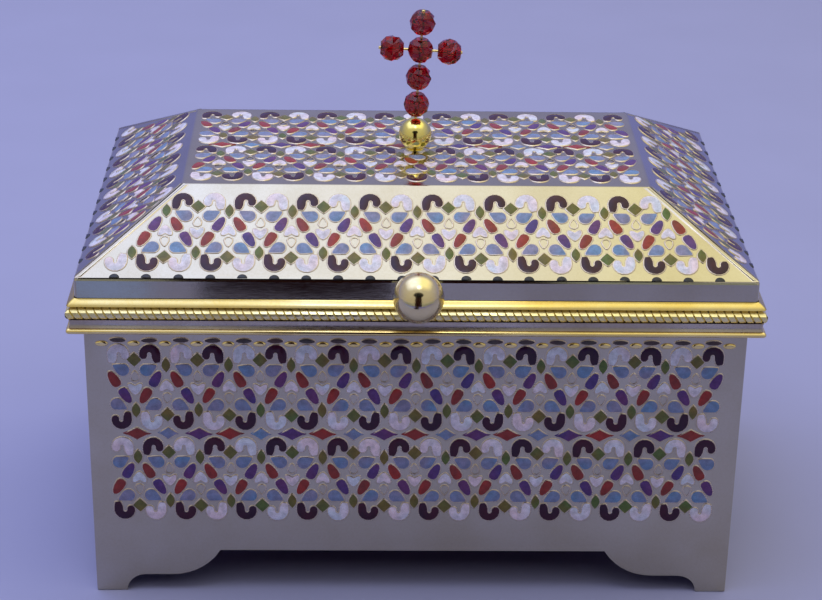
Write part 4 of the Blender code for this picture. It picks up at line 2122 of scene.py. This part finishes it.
CARDS = (
    Card("floor_flag", (-0.054, -0.4225, 0.003), (0.10, 0.175), (0.015, 0.004, 0.004)),
    Card("near_cloth", (0.0, -0.457, 0.002), (1.2, 0.126), (0.26, 0.26, 0.78)),
    Card("side_cloth", (-0.33, -0.367, 0.004), (0.40, 0.066), (0.42, 0.55, 0.98)),
    Card("far_floor", (0.0, -1.72, 0.002), (4.0, 2.40), (0.62, 0.66, 0.58)),
    Card("low_fence", (0.0, -0.62, 0.225), (2.2, 0.45), BLACK, upright=True, mirrored=False),
    Card("stand_head", (-0.02, -0.52, 0.478), (0.44, 0.277), BLACK, upright=True, corners=24),
    Card("stand_leg", (-0.02, -0.522, 0.20), (0.23, 0.40), (0.04, 0.012, 0.008), upright=True),
)


@dataclass
class Studio:
    """Floor, soft lights and camera.

    Attributes:
        camera_place: where the camera stands.
        look_down: the camera's dip in degrees.
        look_right: its turn to the right in degrees.
        tilt: its roll in degrees.
        lens: its focal length in millimetres.
        sensor: its sensor's width in millimetres.
        floor_colour: the pale floor's colour.
        floor_size: the floor's width and depth.
        front_light: the room's light from the front.
        back_light: the room's light from behind.
        top_light: the room's light from above.
    """

    camera_place: Place = (-0.0213, -0.7939, 0.464)
    look_down: float = 24.87
    look_right: float = 1.49
    tilt: float = 0.98
    lens: float = 93.8
    sensor: float = 36.0
    floor_colour: Colour = (0.41, 0.415, 0.655)
    floor_size: float = 8.0
    front_light: Colour = (0.46, 0.44, 0.42)
    back_light: Colour = (0.24, 0.262, 0.66)
    top_light: Colour = (0.62, 0.62, 0.64)

    def build(self) -> None:
        """Build the whole studio."""
        self.add_floor()
        self.add_camera()
        for softbox in SOFTBOXES:
            softbox.hang()
        for card in CARDS:
            card.stand()
        self.add_room()

    def add_floor(self) -> None:
        """Add the pale floor."""
        deselect_all()
        bpy.ops.mesh.primitive_plane_add(size=self.floor_size, location=(0.0, 1.0, 0.0))
        floor = bpy.context.object
        floor.name = "floor"
        dress(floor, DullFinish("pale_floor", self.floor_colour).build())
        settle(floor)
        floor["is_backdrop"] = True

    def add_camera(self) -> None:
        """Add the camera and make it the scene's own."""
        data = bpy.data.cameras.new("camera")
        data.sensor_width = self.sensor
        data.lens = self.lens
        data.clip_start = 0.01
        camera = bpy.data.objects.new("camera", data)
        bpy.context.scene.collection.objects.link(camera)
        dip = Matrix.Rotation(math.radians(90.0 - self.look_down), 4, "X")
        turn = Matrix.Rotation(math.radians(-self.look_right), 4, "Z")
        roll = Matrix.Rotation(math.radians(self.tilt), 4, "Z")
        camera.matrix_world = Matrix.Translation(self.camera_place) @ turn @ dip @ roll
        bpy.context.scene.camera = camera

    def add_room(self) -> None:
        """Light the room softly: brighter overhead, warm in front, cool behind."""
        world = bpy.data.worlds.new("room")
        world.use_nodes = True
        wires = Wiring(world.node_tree)
        direction = wires.add("ShaderNodeTexCoord").outputs["Generated"]
        parts = wires.add("ShaderNodeSeparateXYZ")
        wires.link(direction, parts.inputs["Vector"])
        behind = wires.spread(parts.outputs["Y"], -0.5, 0.6)
        above = wires.spread(parts.outputs["Z"], 0.15, 0.9)
        around = wires.mix(behind, self.front_light, self.back_light)
        background = world.node_tree.nodes["Background"]
        wires.link(wires.mix(above, around, self.top_light), background.inputs["Color"])
        background.inputs["Strength"].default_value = 1.0
        bpy.context.scene.world = world
        bpy.context.scene.view_settings.view_transform = "Standard"


def write_sizes() -> None:
    """Gather the solids' box and the dressed part's box."""
    boxes = {"cad": CAD_BOX, "visual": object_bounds()}
    boxes = {name: [list(corner) for corner in box] for name, box in boxes.items()}


def main() -> None:
    """Build the tabernacle's looks and the studio around it."""
    logging.basicConfig(level=logging.INFO, format="%(name)s %(message)s")
    Studio().build()
    finishes = Finishes()
    kit = CellKit(finishes)
    Casket(finishes, kit).build()
    Lid(finishes, kit).build()
    kit.clear()
    FrontKnob(finishes).build()
    Finial(finishes).build()
    BeadCross(finishes).build()
    write_sizes()


if __name__ == "__main__":
    main()
